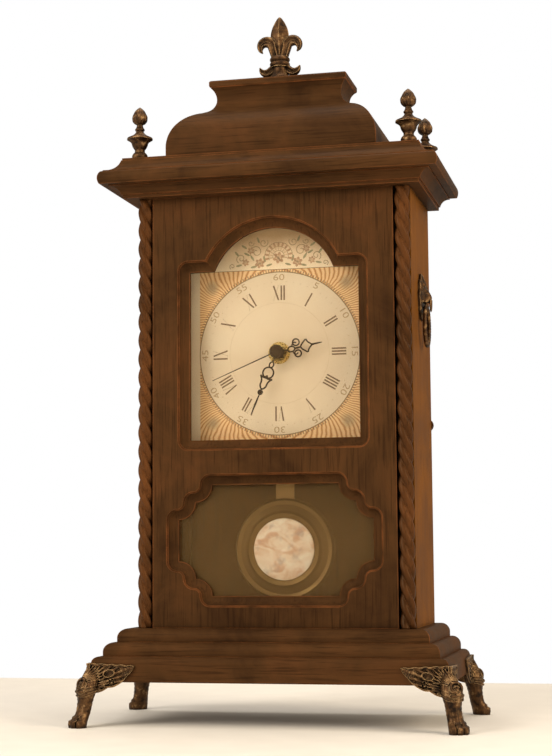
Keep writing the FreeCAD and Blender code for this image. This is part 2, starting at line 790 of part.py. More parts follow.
def make_dial_spacers():
    """Battens that hold the dial board back from the panel; the lowest clamps the dial sheet."""
    y0, y1 = panel_back_y + 3.6, board_y
    outer, inner = dial_board_half, dial_board_half - spacer_width
    battens = [block(-outer, -inner, panel_back_y, y1, dial_bottom_z, dial_top_z + spacer_width),
               block(inner, outer, panel_back_y, y1, dial_bottom_z, dial_top_z + spacer_width)]
    battens.append(block(-inner, inner, panel_back_y, y1, dial_top_z, dial_top_z + spacer_width))
    battens.append(block(-inner, inner, y0, dial_y, dial_bottom_z - 1.0, dial_bottom_z + 5.0))
    return Part.Compound(battens)


def make_dial_plate():
    """The thin printed sheet, square below and arched above, with a hole for the bush."""
    w, shoulder = dial_half_width, dial_shoulder_z + 8
    outline = Outline(-w, dial_bottom_z).to(w, dial_bottom_z).to(w, shoulder)
    outline.to(arch_foot_half + 9, shoulder).arc_to(-arch_foot_half - 9, shoulder, dial_top_z - 0.5 - shoulder)
    outline.to(-w, shoulder).to(-w, dial_bottom_z)
    sheet = board_from(outline, dial_y, board_y)
    return sheet.cut(rod(bush_radius + 0.2, 9, (0, dial_y - 4, dial_centre_z), (0, 1, 0)))


def make_dial_board():
    board = block(-dial_board_half, dial_board_half, board_y, board_y + dial_board_thickness,
                  dial_bottom_z - 1.0, dial_top_z + spacer_width)
    return board.cut(rod(bush_radius + 0.4, 20, (0, board_y - 5, dial_centre_z), (0, 1, 0)))


def make_movement_front():
    """Front plate of the movement with the threaded bush that comes through the dial."""
    low = dial_centre_z - movement_half - movement_drop
    plate = block(-movement_half, movement_half, movement_y, movement_y + movement_wall,
                  low, dial_centre_z + movement_half)
    bush_end = dial_y - bush_stand
    plate = plate.fuse(rod(bush_radius, movement_y - bush_end, (0, bush_end, dial_centre_z), (0, 1, 0)))
    return plate.cut(rod(hour_tube_radius + running_fit, 40, (0, bush_end - 5, dial_centre_z), (0, 1, 0)))


def gear_arbor():
    """Place of the second arbor of the motion work, x and z."""
    a = math.radians(gear_arbor_angle)
    return gear_centres * math.cos(a), dial_centre_z + gear_centres * math.sin(a)


def make_movement_cover():
    """The deep back shell: a cell bay open at the back, a slot for the pendulum hanger."""
    low = dial_centre_z - movement_half - movement_drop
    y0 = movement_y + movement_wall
    cover = block(-movement_half, movement_half, y0, movement_back_y, low, dial_centre_z + movement_half)
    wall = movement_wall
    cell_z = dial_centre_z - battery_drop
    cell_top = cell_z + battery_radius + battery_clear
    # room for the wheels, above the cell bay
    cover = cover.cut(block(-movement_half + wall, movement_half - wall, y0 - OVER, movement_back_y - wall,
                            cell_top + wall, dial_centre_z + movement_half - wall))
    # the cell bay, open at the back
    bay_low = cell_z - battery_radius - battery_clear
    cover = cover.cut(block(-movement_half + wall, movement_half - wall, y0 - OVER,
                            movement_back_y + OVER, bay_low, cell_top))
    # the slot that the hanger swings in, open below
    reach = (pivot_z - low) * math.tan(math.radians(12)) + hanger_width / 2 + 2.0
    slot = block(-reach, reach, pendulum_y - hanger_thickness / 2 - swing_clear,
                 pendulum_y + hanger_thickness / 2 + swing_clear, low - OVER, pivot_z + hanger_width / 2 + 1.0)
    cover = cover.cut(slot)
    cover = cover.fuse(rod(pivot_radius, hanger_thickness + 2 * swing_clear + 1.0,
                           (0, pendulum_y - hanger_thickness / 2 - swing_clear - 0.5, pivot_z), (0, 1, 0)))
    gx, gz = gear_arbor()
    return cover.cut(rod(1.2 + running_fit, 10, (gx, movement_back_y - 5, gz), (0, 1, 0)))


def make_fixing_nut():
    """Hexagon nut and its thin washer in front of the dial."""
    y1 = dial_y - washer_thickness
    y0 = y1 - nut_thickness
    corner = nut_across / math.sqrt(3)
    hexagon = Outline(corner, dial_centre_z)
    for k in range(1, 7):
        a = math.radians(60 * k)
        hexagon.to(corner * math.cos(a), dial_centre_z + corner * math.sin(a))
    nut = board_from(hexagon, y0, y1)
    nut = nut.fuse(rod(washer_radius, washer_thickness, (0, y1, dial_centre_z), (0, 1, 0)))
    return nut.cut(rod(bush_radius, 10, (0, y0 - 2, dial_centre_z), (0, 1, 0)))


def make_rubber_washer():
    y = board_y + dial_board_thickness
    return tube(washer_radius + 2, bush_radius + 0.4, cushion_thickness, (0, y, dial_centre_z), (0, 1, 0))


def gear(teeth, pitch_radius, y, cx, cz, turn=0.0):
    """A spur wheel with straight-sided teeth."""
    module = 2 * pitch_radius / teeth
    tip, root = pitch_radius + module * 0.9, pitch_radius - module * 1.15
    step = 2 * math.pi / teeth
    rim = None
    for k in range(teeth):
        a = turn + k * step
        corners = ((root, a - step * tooth_root), (tip, a - step * tooth_tip),
                   (tip, a + step * tooth_tip), (root, a + step * tooth_root))
        for r, t in corners:
            x, z = cx + r * math.cos(t), cz + r * math.sin(t)
            rim = Outline(x, z) if rim is None else rim.to(x, z)
    rim.to(*rim.start)
    return board_from(rim, y, y + gear_thickness)


def gear_radii(driver, driven):
    """Pitch radii of two wheels that share the fixed distance between the arbors."""
    return gear_centres * driver / (driver + driven), gear_centres * driven / (driver + driven)


hour_wheel_y = movement_y + movement_wall + 0.5
cannon_y = hour_wheel_y + gear_thickness + 0.8


def hand_y(level):
    """Front face of a hand; level 0 is the hour hand, next to the nut."""
    return dial_y - bush_stand - 1.0 - level * hand_spacing - hand_thickness


def make_hour_wheel():
    """The forty-tooth hour wheel on the tube that carries the hour hand."""
    radius = gear_radii(minute_pinion_teeth, hour_wheel_teeth)[1]
    front = hand_y(0) - 0.3
    wheel = gear(hour_wheel_teeth, radius, hour_wheel_y, 0, dial_centre_z)
    wheel = wheel.fuse(rod(hour_tube_radius, hour_wheel_y + gear_thickness - front,
                           (0, front, dial_centre_z), (0, 1, 0)))
    return wheel.cut(rod(minute_tube_radius + running_fit, 60, (0, front - 5, dial_centre_z), (0, 1, 0)))


def make_minute_arbor():
    """The tube that carries the minute hand, with the twelve-leaf cannon pinion."""
    radius = gear_radii(cannon_teeth, minute_wheel_teeth)[0]
    front = hand_y(1) - 0.3
    back = movement_back_y - movement_wall - 0.3
    arbor = gear(cannon_teeth, radius, cannon_y, 0, dial_centre_z)
    arbor = arbor.fuse(rod(minute_tube_radius, back - front, (0, front, dial_centre_z), (0, 1, 0)))
    return arbor.cut(rod(second_pin_radius + running_fit, 90, (0, front - 5, dial_centre_z), (0, 1, 0)))


def make_second_arbor():
    """The thin steel pin inside the minute tube, with its small cap in front."""
    front = hand_y(2) - 1.6
    back = movement_back_y - movement_wall - 0.3
    pin = rod(second_pin_radius, back - front, (0, front, dial_centre_z), (0, 1, 0))
    return pin.fuse(rod(2.3, 1.4, (0, front, dial_centre_z), (0, 1, 0)))


def make_minute_wheel():
    """Thirty-six teeth and a ten-leaf pinion on the arbor that the setting knob turns."""
    gx, gz = gear_arbor()
    a = math.radians(gear_arbor_angle)
    wheel_radius = gear_radii(cannon_teeth, minute_wheel_teeth)[1]
    pinion_radius = gear_radii(minute_pinion_teeth, hour_wheel_teeth)[0]
    # a tooth space faces the cannon pinion's tooth, and a tooth the hour wheel's space
    wheel_turn = a + math.pi + math.pi / minute_wheel_teeth + mesh_phase(cannon_teeth, minute_wheel_teeth, a)
    pinion_turn = a + math.pi + math.pi / minute_pinion_teeth + mesh_phase(hour_wheel_teeth, minute_pinion_teeth, a)
    wheel = gear(minute_wheel_teeth, wheel_radius, cannon_y, gx, gz, wheel_turn)
    wheel = wheel.fuse(gear(minute_pinion_teeth, pinion_radius, hour_wheel_y, gx, gz, pinion_turn))
    start = hour_wheel_y - 0.3
    end = movement_back_y + 0.5 + knob_length / 2
    return wheel.fuse(rod(1.2, end - start, (gx, start, gz), (0, 1, 0)))


def mesh_phase(fixed_teeth, moving_teeth, a):
    """Extra turn so that the moving wheel's space meets the fixed wheel's tooth on the centre line."""
    off = (a * fixed_teeth / (2 * math.pi)) % 1.0
    return off * 2 * math.pi / moving_teeth


def make_setting_knob():
    gx, gz = gear_arbor()
    y = movement_back_y + 0.5
    knob = rod(knob_radius, knob_length, (gx, y, gz), (0, 1, 0))
    return knob.cut(rod(1.2, knob_length / 2, (gx, y, gz), (0, 1, 0)))


def pointer(pieces, angle, y):
    """Fuse flat pieces drawn along +Z and turn them clockwise to a dial angle."""
    hand = pieces[0]
    for piece in pieces[1:]:
        hand = hand.fuse(piece)
    hand = hand.removeSplitter()
    hand.translate(Vec(0, y, dial_centre_z))
    hand.rotate(Vec(0, 0, dial_centre_z), Vec(0, 1, 0), angle)
    return hand


def flat_bar(z0, half0, z1, half1):
    outline = Outline(-half0, z0).to(half0, z0).to(half1, z1).to(-half1, z1)
    return board_from(outline, 0, hand_thickness)


def flat_loop(x, z, outer, inner):
    return tube(outer, inner, hand_thickness, (x, 0, z), (0, 1, 0))


def lance(z0, z1, z2, half):
    """A leaf-shaped blade between two points."""
    outline = Outline(-0.4, z0).to(0.4, z0).arc_to(half, z1, 0.4).arc_to(0.0, z2, 0.5)
    outline.arc_to(-half, z1, 0.5).arc_to(-0.4, z0, 0.4)
    return board_from(outline, 0, hand_thickness)


def fretted_hand(length, bore, loops, blade):
    """A serpentine hand: a hub, a stem, pairs of scroll loops and a blade."""
    pieces = [tube(3.6, bore, hand_thickness, (0, 0, 0), (0, 1, 0)), flat_bar(bore + 0.9, 1.0, length * 0.82, 0.5)]
    for z, x, outer in loops:
        for side in (-1, 1):
            pieces.append(flat_loop(side * x, z, outer, outer - 0.8))
    pieces.append(lance(blade[0], blade[1], length, blade[2]))
    return pieces


def make_hour_hand():
    loops = ((9.5, 2.5, 2.6), (15.5, 3.4, 3.2))
    blade = (hour_hand_length * 0.58, hour_hand_length * 0.72, 2.2)
    return pointer(fretted_hand(hour_hand_length, hour_tube_radius, loops, blade), hour_hand_angle, hand_y(0))


def make_minute_hand():
    loops = ((11.5, 2.4, 2.5), (18.0, 2.8, 2.6))
    blade = (minute_hand_length * 0.46, minute_hand_length * 0.60, 1.7)
    return pointer(fretted_hand(minute_hand_length, minute_tube_radius, loops, blade), minute_hand_angle,
                   hand_y(1))


def make_second_hand():
    pieces = [tube(2.6, second_pin_radius, hand_thickness, (0, 0, 0), (0, 1, 0)),
              flat_bar(1.6, 0.45, second_hand_length, 0.2)]
    return pointer(pieces, second_hand_angle, hand_y(2))


def make_battery():
    """An AA cell lying across the bay."""
    y = movement_back_y - battery_radius - 0.5
    z = dial_centre_z - battery_drop
    half = battery_length / 2
    cell = rod(battery_radius, battery_length, (-half, y, z), (1, 0, 0))
    return cell.fuse(rod(battery_button, button_rise, (half, y, z), (1, 0, 0)))


def make_battery_contacts():
    """Two sprung plates, one at each end of the cell."""
    y = movement_back_y - battery_radius - 0.5
    z = dial_centre_z - battery_drop
    inner = movement_half - movement_wall
    h = contact_half
    plates = [block(-inner, -battery_length / 2, y - h, y + h, z - h, z + h),
              block(battery_length / 2 + button_rise, inner, y - h, y + h, z - h, z + h)]
    return Part.Compound(plates)


# ---------------------------------------------------------------- pendulum
def make_pendulum_hanger():
    """The plastic arm that rocks on the pivot and hooks the rod."""
    y0 = pendulum_y - hanger_thickness / 2
    half = hanger_width / 2
    arm = Outline(-half, pivot_z).to(-half * 0.7, pivot_z - hanger_length).to(half * 0.7, pivot_z - hanger_length)
    arm.to(half, pivot_z).arc_to(-half, pivot_z, half)
    arm = board_from(arm, y0, y0 + hanger_thickness)
    y1 = y0 + hanger_thickness
    low = pivot_z - hanger_length + hook_height
    arm = arm.fuse(block(-hook_width / 2, hook_width / 2, y1, y1 + rod_thickness + 0.8, low, low + hook_height))
    return arm.cut(rod(pivot_radius + running_fit, 20, (0, y0 - 9, pivot_z), (0, 1, 0)))


def make_pendulum_rod():
    """A flat strip, pierced at the top for the hook, screwed to the back of the bob."""
    y0 = pendulum_y + hanger_thickness / 2
    low = pivot_z - hanger_length + hook_height
    strip = block(-rod_width / 2, rod_width / 2, y0, y0 + rod_thickness, bob_z - bob_radius * 0.6,
                  pivot_z - hanger_length + rod_lap)
    eye = block(-hook_width / 2 - 0.2, hook_width / 2 + 0.2, y0 - OVER, y0 + rod_thickness + OVER,
                low - hook_height / 2, low + hook_height)
    return strip.cut(eye)


def make_pendulum_bob():
    """A pressed brass pan with a rolled rim, a raised ring and a seat for the picture disc."""
    y1 = pendulum_y + hanger_thickness / 2
    y0 = y1 - bob_thickness
    shell = Outline(0, y1).to(bob_radius - 1.4, y1).to(bob_radius, y1 - 2.2).to(bob_radius - 1.6, y1 - 4.2)
    shell.to(bob_radius - 4.4, y1 - 3.0).to(bob_ring_radius + 2.0, y0 + 1.6)
    shell.to(bob_ring_radius, y0).to(bob_ring_radius - 2.2, y0 + 0.8)
    shell.to(bob_disc_radius, y0 + 1.6).to(0, y0 + 1.6)
    return turned_on_y(shell, 0, bob_z)


def make_bob_disc():
    """The small enamelled disc in the middle of the bob."""
    y0 = pendulum_y + hanger_thickness / 2 - bob_thickness
    disc = Outline(0, y0 + 1.6).to(bob_disc_radius - 0.2, y0 + 1.6).to(bob_disc_radius - 0.6, y0 + 0.9)
    disc.to(bob_disc_radius - 3, y0 + 0.6).to(0, y0 + 0.5)
    return turned_on_y(disc, 0, bob_z)


# ---------------------------------------------------------------- back door
def make_back_door():
    half = inner_half - door_side_gap
    return block(-half, half, door_y, case_back_y, floor_top_z + door_top_gap, cornice_z - door_top_gap)


def make_door_stops():
    """Battens inside the case that the door closes against."""
    battens = []
    for side in (-1, 1):
        x0, x1 = sorted((side * (inner_half - stop_width), side * inner_half))
        battens.append(block(x0, x1, door_y - stop_gap - stop_width, door_y - stop_gap, floor_top_z, cornice_z))
    return Part.Compound(battens)


def knuckle(z0, z1):
    return tube(knuckle_radius, pin_radius, z1 - z0, (hinge_x, hinge_y, z0), (0, 0, 1))


def hinge_leaf(side, height):
    """One leaf with its share of the knuckle: the case has both ends, the door the middle."""
    third = leaf_height / 3
    low = height - leaf_height / 2
    x0, x1 = sorted((hinge_x, hinge_x + side * (knuckle_radius + leaf_width)))
    y1 = case_back_y + leaf_thickness
    leaf = block(x0, x1, case_back_y, y1, low, low + leaf_height)
    web = block(hinge_x - 0.9, hinge_x + 0.9, y1 - leaf_thickness, hinge_y, low, low + leaf_height)
    mine = [(low, low + third), (low + 2 * third, low + leaf_height)]
    theirs = [(low + third, low + 2 * third)]
    if side > 0:
        mine, theirs = theirs, mine
    leaf = leaf.fuse(web)
    for z0, z1 in theirs:
        leaf = leaf.cut(block(hinge_x - 4, hinge_x + 4, case_back_y - 3, hinge_y + 4,
                              z0 - knuckle_gap, z1 + knuckle_gap))
    for z0, z1 in mine:
        leaf = leaf.cut(rod(pin_radius, z1 - z0, (hinge_x, hinge_y, z0), (0, 0, 1)))
        z0 = z0 + (knuckle_gap if side > 0 else 0)
        z1 = z1 - (knuckle_gap if side > 0 else 0)
        leaf = leaf.fuse(knuckle(z0, z1))
    # room for the other leaf to turn
    if side > 0:
        leaf = leaf.cut(block(hinge_x - 9, hinge_x - 0.3, case_back_y - 1, y1 + 0.2, low, low + leaf_height))
    else:
        leaf = leaf.cut(block(hinge_x + 0.0, hinge_x + 9, case_back_y - 1, y1 + 0.2, low, low + leaf_height))
    return leaf.removeSplitter()


def make_hinge_leaves(side):
    return Part.Compound([hinge_leaf(side, z) for z in hinge_heights])


def make_hinge_pins():
    pins = []
    for height in hinge_heights:
        low = height - leaf_height / 2
        pins.append(rod(pin_radius - running_fit, leaf_height, (hinge_x, hinge_y, low), (0, 0, 1)))
    return Part.Compound(pins)


def make_turn_button():
    """A round-ended button on the right rear edge; turned up it is clear, turned across it holds the door."""
    y0 = case_back_y + button_gap
    half = button_width / 2
    tip_z = button_z + button_length
    tongue = Outline(button_x - half, button_z).to(button_x + half, button_z)
    tongue.to(button_x + half * 0.8, tip_z).arc_to(button_x - half * 0.8, tip_z, 2.0).to(button_x - half, button_z)
    button = board_from(tongue, y0, y0 + button_thickness)
    button = button.fuse(rod(button_radius, button_thickness, (button_x, y0, button_z), (0, 1, 0)))
    return button.cut(rod(screw_radius + running_fit, 20, (button_x, y0 - 5, button_z), (0, 1, 0)))


def make_button_screw():
    y_head = case_back_y + 2 * button_gap + button_thickness
    screw = rod(screw_radius, y_head - case_back_y, (button_x, case_back_y, button_z), (0, 1, 0))
    return screw.fuse(rod(screw_head_radius, screw_head, (button_x, y_head, button_z), (0, 1, 0)))


# ---------------------------------------------------------------- lion pulls
def make_lion_mask(side):
    """A lion's head on a maned back plate; the mouth has a slot that the ring hangs in."""
    # reach from the panel, share of the outline, drop of the centre, mane ripple
    levels = ((0.0, 1.00, 0.0, 0.10), (1.8, 1.00, 0.0, 0.10), (3.6, 0.80, -0.3, 0.07),
              (5.4, 0.62, -1.0, 0.0), (7.4, 0.46, -2.4, 0.0), (mask_depth, 0.22, -3.0, 0.0))
    rings = []
    count = 20
    for out, share, drop, ripple in levels:
        ring = []
        for k in range(count):
            a = 2 * math.pi * k / count
            r = share * (1 + ripple * math.cos(10 * a))
            ring.append(Vec(side * (case_half + out), mask_y + r * mask_half_width * math.cos(a),
                            mask_z + drop + r * mask_half_height * math.sin(a)))
        rings.append(ring if side > 0 else ring[::-1])
    mask = skin(rings)
    x0, x1 = sorted((side * (ring_x() - ring_bar - ring_play), side * (ring_x() + ring_bar + ring_play)))
    mask = mask.cut(block(x0, x1, mask_y - 20, mask_y + 20, mask_z - 30, ring_top_z() + ring_play))
    x0, x1 = sorted((side * (ring_x() - ring_bar - ring_play), side * (case_half + 20)))
    for y0, y1 in ((mask_y - 20, mask_y - jaw_half), (mask_y + jaw_half, mask_y + 20)):
        mask = mask.cut(block(x0, x1, y0, y1, mask_z - 30, ring_top_z() + ring_play))
    return mask


def ring_x():
    """Middle of the ring's bar, measured out from the clock's centre plane."""
    return case_half + 4.6


def ring_top_z():
    return mask_z - 5.0


def make_pull_ring(side):
    """A ring hanging in the lion's mouth."""
    cz = ring_top_z() - ring_half_height - ring_bar
    rings = []
    for i in range(ring_sides):
        a = 2 * math.pi * i / ring_sides
        ring = []
        for k in range(ring_flats):
            b = 2 * math.pi * k / ring_flats
            x = side * ring_x() + ring_bar * math.sin(b)
            wide = ring_half_width + ring_bar * math.cos(b)
            tall = ring_half_height + ring_bar * math.cos(b)
            ring.append(Vec(x, mask_y + wide * math.cos(a), cz + tall * math.sin(a)))
        rings.append(ring)
    return skin(rings, capped=False)


# ---------------------------------------------------------------- all pieces
def all_pieces():
    pieces = {
        "plinth": make_plinth(),
        "base_moulding": make_base_moulding(),
        "floor_board": make_floor_board(),
        "side_panel_left": make_side_panel(-1),
        "side_panel_right": make_side_panel(1),
        "front_panel": make_front_panel(),
        "corner_posts": make_corner_posts(),
        "rope_column_left": make_column(-1),
        "rope_column_right": make_column(1),
        "cornice_cove": make_cornice_lower(),
        "cornice_lip": make_cornice_lip(),
        "deck_board": make_deck_board(),
        "caddy_bell": make_caddy_bell(),
        "cap_plate": make_cap_plate(),
        "fleur_finial": make_fleur_finial(),
        "foot_screws": make_foot_screws(),
        "dial_glass": make_dial_glass(),
        "window_glass": make_window_glass(),
        "glass_clips": make_glass_clips(),
        "dial_spacers": make_dial_spacers(),
        "dial_plate": make_dial_plate(),
        "dial_board": make_dial_board(),
        "movement_front": make_movement_front(),
        "movement_cover": make_movement_cover(),
        "fixing_nut": make_fixing_nut(),
        "rubber_washer": make_rubber_washer(),
        "hour_wheel": make_hour_wheel(),
        "hour_hand": make_hour_hand(),
        "minute_arbor": make_minute_arbor(),
        "minute_hand": make_minute_hand(),
        "second_arbor": make_second_arbor(),
        "second_hand": make_second_hand(),
        "minute_wheel": make_minute_wheel(),
        "setting_knob": make_setting_knob(),
        "battery": make_battery(),
        "battery_contacts": make_battery_contacts(),
        "pendulum_hanger": make_pendulum_hanger(),
        "pendulum_rod": make_pendulum_rod(),
        "pendulum_bob": make_pendulum_bob(),
        "bob_disc": make_bob_disc(),
        "back_door": make_back_door(),
        "door_stops": make_door_stops(),
        "hinge_leaves_case": make_hinge_leaves(-1),
        "hinge_leaves_door": make_hinge_leaves(1),
        "hinge_pins": make_hinge_pins(),
        "turn_button": make_turn_button(),
        "button_screw": make_button_screw(),
    }
    for side, name in ((-1, "left"), (1, "right")):
        pieces["lion_mask_" + name] = make_lion_mask(side)
        pieces["pull_ring_" + name] = make_pull_ring(side)
        pieces["front_finial_" + name] = make_corner_finial(side, finial_front_y)
        pieces["rear_finial_" + name] = make_corner_finial(side, finial_back_y)
        pieces["front_foot_" + name] = make_foot(side, False)
        pieces["rear_foot_" + name] = make_foot(side, True)
    return pieces


os.makedirs("parts", exist_ok=True)
for name, shape in all_pieces().items():
    shape.exportStep("parts/" + name + ".step")
    print(name, "valid" if shape.isValid() else "INVALID", len(shape.Solids), "solids",
          round(shape.Volume / 1000, 2), "cm3")
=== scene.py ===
# %% [markdown]
# A bracket clock, finished for the camera. The joiner's and founder's work comes in as a packed
# model, already to size, so this file only gives it what a workshop adds last: stain and varnish,
# patina on the castings, the printed dial, the twist of the columns and the carving of the feet.
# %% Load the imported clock
import json
from math import atan2, copysign, cos, exp, hypot, pi, radians, sin, sqrt
import bmesh
import bpy
from mathutils import Matrix, Vector, noise


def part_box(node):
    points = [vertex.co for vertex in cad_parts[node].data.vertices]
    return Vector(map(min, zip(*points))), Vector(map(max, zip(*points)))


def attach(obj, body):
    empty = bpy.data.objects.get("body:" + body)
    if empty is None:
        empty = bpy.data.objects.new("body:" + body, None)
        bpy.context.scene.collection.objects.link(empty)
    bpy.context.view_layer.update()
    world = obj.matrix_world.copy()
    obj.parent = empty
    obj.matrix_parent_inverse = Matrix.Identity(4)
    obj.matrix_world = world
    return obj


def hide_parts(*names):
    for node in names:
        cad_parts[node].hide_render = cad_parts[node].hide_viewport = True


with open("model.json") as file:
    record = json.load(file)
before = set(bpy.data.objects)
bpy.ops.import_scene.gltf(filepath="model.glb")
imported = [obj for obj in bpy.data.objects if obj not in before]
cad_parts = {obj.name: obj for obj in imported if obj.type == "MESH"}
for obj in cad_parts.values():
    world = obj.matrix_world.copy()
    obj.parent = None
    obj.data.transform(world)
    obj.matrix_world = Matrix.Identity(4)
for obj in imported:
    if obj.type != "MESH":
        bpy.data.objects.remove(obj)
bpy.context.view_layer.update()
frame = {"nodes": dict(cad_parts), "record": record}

MM = 0.001


# %% [markdown]
# Small helpers come first. A finish is a little network: where a point lies on the piece, a
# pattern worked out from that, and a shader. Writing the network through a few short functions
# keeps each recipe readable as a list of layers, in the order a finisher would lay them on.
# %% Helpers for finishes
def finish_named(name):
    mat = bpy.data.materials.new(name)
    mat.use_nodes = True
    tree = mat.node_tree
    tree.nodes.clear()
    out = tree.nodes.new("ShaderNodeOutputMaterial")
    shader = tree.nodes.new("ShaderNodeBsdfPrincipled")
    tree.links.new(shader.outputs[0], out.inputs[0])
    return mat, tree, shader


def plug(tree, value, socket):
    """Link a socket to a socket, or write a plain value into it."""
    if isinstance(value, bpy.types.NodeSocket):
        tree.links.new(value, socket)
    else:
        socket.default_value = value


def lay(tree, shader, **layers):
    """Give the shader its layers; Base_Color stands for the input called Base Color."""
    for key, value in layers.items():
        plug(tree, value, shader.inputs[key.replace("_", " ")])


def node(tree, kind, pick=0, **values):
    """A node with its settings and inputs filled in; I0, I1 and so on are inputs by number."""
    made = tree.nodes.new("ShaderNode" + kind)
    for key, value in values.items():
        if key[0].islower():
            setattr(made, key, value)
        elif key[1:].isdigit():
            plug(tree, value, made.inputs[int(key[1:])])
        else:
            plug(tree, value, made.inputs[key.replace("_", " ")])
    return made.outputs[pick]


def mottle(tree, scale, detail, stretch=(1, 1, 1), **more):
    """A cloudy pattern over the piece, drawn out into streaks where it is stretched."""
    place = node(tree, "Mapping", Vector=node(tree, "TexCoord", "Object"), Scale=stretch)
    return node(tree, "TexNoise", Vector=place, Scale=scale, Detail=detail, **more)


def ramp(tree, value, stops):
    made = tree.nodes.new("ShaderNodeValToRGB")
    tree.links.new(value, made.inputs[0])
    while len(made.color_ramp.elements) < len(stops):
        made.color_ramp.elements.new(0.5)
    for element, (where, colour) in zip(made.color_ramp.elements, stops):
        element.position = where
        shade = (colour,) * 3 if isinstance(colour, float) else colour
        element.color = (*shade, 1.0)
    return made.outputs[0]


def blend(tree, share, under, over):
    under, over = (v if isinstance(v, bpy.types.NodeSocket) else (*v, 1.0) for v in (under, over))
    return node(tree, "Mix", 2, data_type="RGBA", I0=share, I6=under, I7=over)


def sums(tree, how, a, b=0.0):
    return node(tree, "Math", operation=how, I0=a, I1=b)


def product(tree, first, *rest):
    for value in rest:
        first = sums(tree, "MULTIPLY", first, value)
    return first


def total(tree, first, *rest):
    for value in rest:
        first = sums(tree, "ADD", first, value)
    return first


def distance(tree, a, b):
    return sums(tree, "SQRT", total(tree, sums(tree, "POWER", a, 2.0), sums(tree, "POWER", b, 2.0)))


def dimmer(colour, share):
    return tuple(c * share for c in colour)


def edges_of(tree, width):
    """1 on sharp edges, 0 on flats: a rounded normal compared with the true one."""
    rounded = node(tree, "Bevel", samples=6, Radius=width)
    true = node(tree, "NewGeometry", "Normal")
    likeness = node(tree, "VectorMath", "Value", operation="DOT_PRODUCT", I0=rounded, I1=true)
    return ramp(tree, likeness, ((0.80, 1.0), (0.985, 0.0)))


def hollow_shade_and_patina(tree, samples, reach, stops):
    """How enclosed a place is: it sets the painted shade in the wood's corners and the patina in the
    castings' hollows.
    """
    return ramp(tree, node(tree, "AmbientOcclusion", 1, samples=samples, Distance=reach), stops)


def relief(tree, shader, height, depth, strength):
    bump = node(tree, "Bump", Height=height, Distance=depth, Strength=strength)
    lay(tree, shader, Normal=bump)


print("helpers for finishes: ready")


# %% [markdown]
# The case is a soft wood stained very dark and rubbed back, then varnished to a low sheen. Three
# scales of pattern make it believable: broad cloudy patches where the stain took unevenly, long
# streaks of grain, and short dark pores. Edges that hands and dusters reach are rubbed through to
# a redder brown, and that redder tone is also their painted highlight. Corners and recesses are
# darkened with painted shade. The sides take a lighter, more orange copy of the stain, which is
# painted golden light. Mouldings are cut along their length, so their grain runs sideways. A
# picture of wood could be wrapped round each board instead, but a pattern worked out in the
# board's own space runs on round its corners as real grain does, and shows no seam.
# %% Stained wood
ACROSS_GRAIN, ALONG_GRAIN, WORN_AND_HIGHLIT_EDGE, CORNER_SHADE_REACH = 120.0, 5.0, 0.0014, 0.006


def stained_wood(name, tones, grain, gloss=0.42, edge_rub_and_highlight=0.8, shine=0.02):
    """Wood in four tones, dark, mid, warm, and a redder one for edge wear that is also their painted
    highlight, with its grain along one axis.
    """
    mat, tree, shader = finish_named(name)
    dark, mid, warm, worn_and_highlit = tones
    stretch = [ALONG_GRAIN if axis == grain else ACROSS_GRAIN for axis in "xyz"]
    patches = mottle(tree, 16.0, 6.0, Roughness=0.62, Distortion=0.6)
    streaks = mottle(tree, 1.0, 7.0, stretch, Roughness=0.68, Distortion=0.8)
    pores = mottle(tree, 1.0, 2.0, [v * 7 for v in stretch])
    colour = ramp(tree, streaks, ((0.34, dark), (0.54, mid), (0.78, warm)))
    colour = blend(tree, 0.66, colour, ramp(tree, patches, ((0.36, dark), (0.50, mid), (0.68, warm))))
    colour = blend(tree, ramp(tree, pores, ((0.32, 0.45), (0.46, 0.0))), colour, dimmer(dark, 0.5))
    # edge wear and painted highlight: the sharp edges take the redder fourth tone
    rubbed = ramp(tree, mottle(tree, 90.0, 4.0), ((0.34, 0.15), (0.60, 1.0)))
    colour = blend(tree, product(tree, edges_of(tree, WORN_AND_HIGHLIT_EDGE), rubbed, edge_rub_and_highlight), colour, worn_and_highlit)
    # painted shade: corners and recesses darken towards a deep brown, the more enclosed the deeper
    painted_corner_shade = hollow_shade_and_patina(tree, 4, CORNER_SHADE_REACH, ((0.30, 0.75), (0.75, 0.0)))
    colour = blend(tree, painted_corner_shade, colour, dimmer(dark, 0.35))
    rough = ramp(tree, patches, ((0.3, gloss - 0.05), (0.7, gloss + 0.1)))
    lay(tree, shader, Base_Color=colour, Roughness=rough, Specular_IOR_Level=shine,
        Specular_Tint=(1.0, 0.74, 0.48, 1))
    relief(tree, shader, total(tree, streaks, product(tree, pores, 0.5)), 0.00018, 0.6)
    return mat


FRONT = (0.028, 0.013, 0.006), (0.058, 0.027, 0.0105), (0.092, 0.038, 0.014), (0.24, 0.083, 0.028)
COLUMN = (0.030, 0.012, 0.004), (0.074, 0.028, 0.009), (0.13, 0.046, 0.013), (0.30, 0.115, 0.036)
# painted golden light: the sides are a lighter, more orange copy of the case's stain
SIDE = (0.096, 0.036, 0.007), (0.152, 0.058, 0.011), (0.190, 0.074, 0.015), (0.36, 0.16, 0.04)
BARE = (0.075, 0.046, 0.017), (0.100, 0.061, 0.022), (0.13, 0.080, 0.030), (0.18, 0.12, 0.05)
DOOR = (0.060, 0.027, 0.009), (0.105, 0.046, 0.015), (0.15, 0.066, 0.022), (0.25, 0.13, 0.06)
upright_wood = stained_wood("upright_stained_wood", FRONT, "z")
moulding_wood = stained_wood("moulding_stained_wood", FRONT, "x")
column_wood = stained_wood("column_stained_wood", COLUMN, "z", gloss=0.36, shine=0.10)
side_wood_painted_light = stained_wood("side_stain_with_painted_light", SIDE, "z", gloss=0.45, shine=0.012)
inner_wood = stained_wood("bare_inner_wood", BARE, "z", gloss=0.62, edge_rub_and_highlight=0.2)
door_wood = stained_wood("door_wood", DOOR, "z", gloss=0.5, edge_rub_and_highlight=0.4)
print("stained woods: 6")
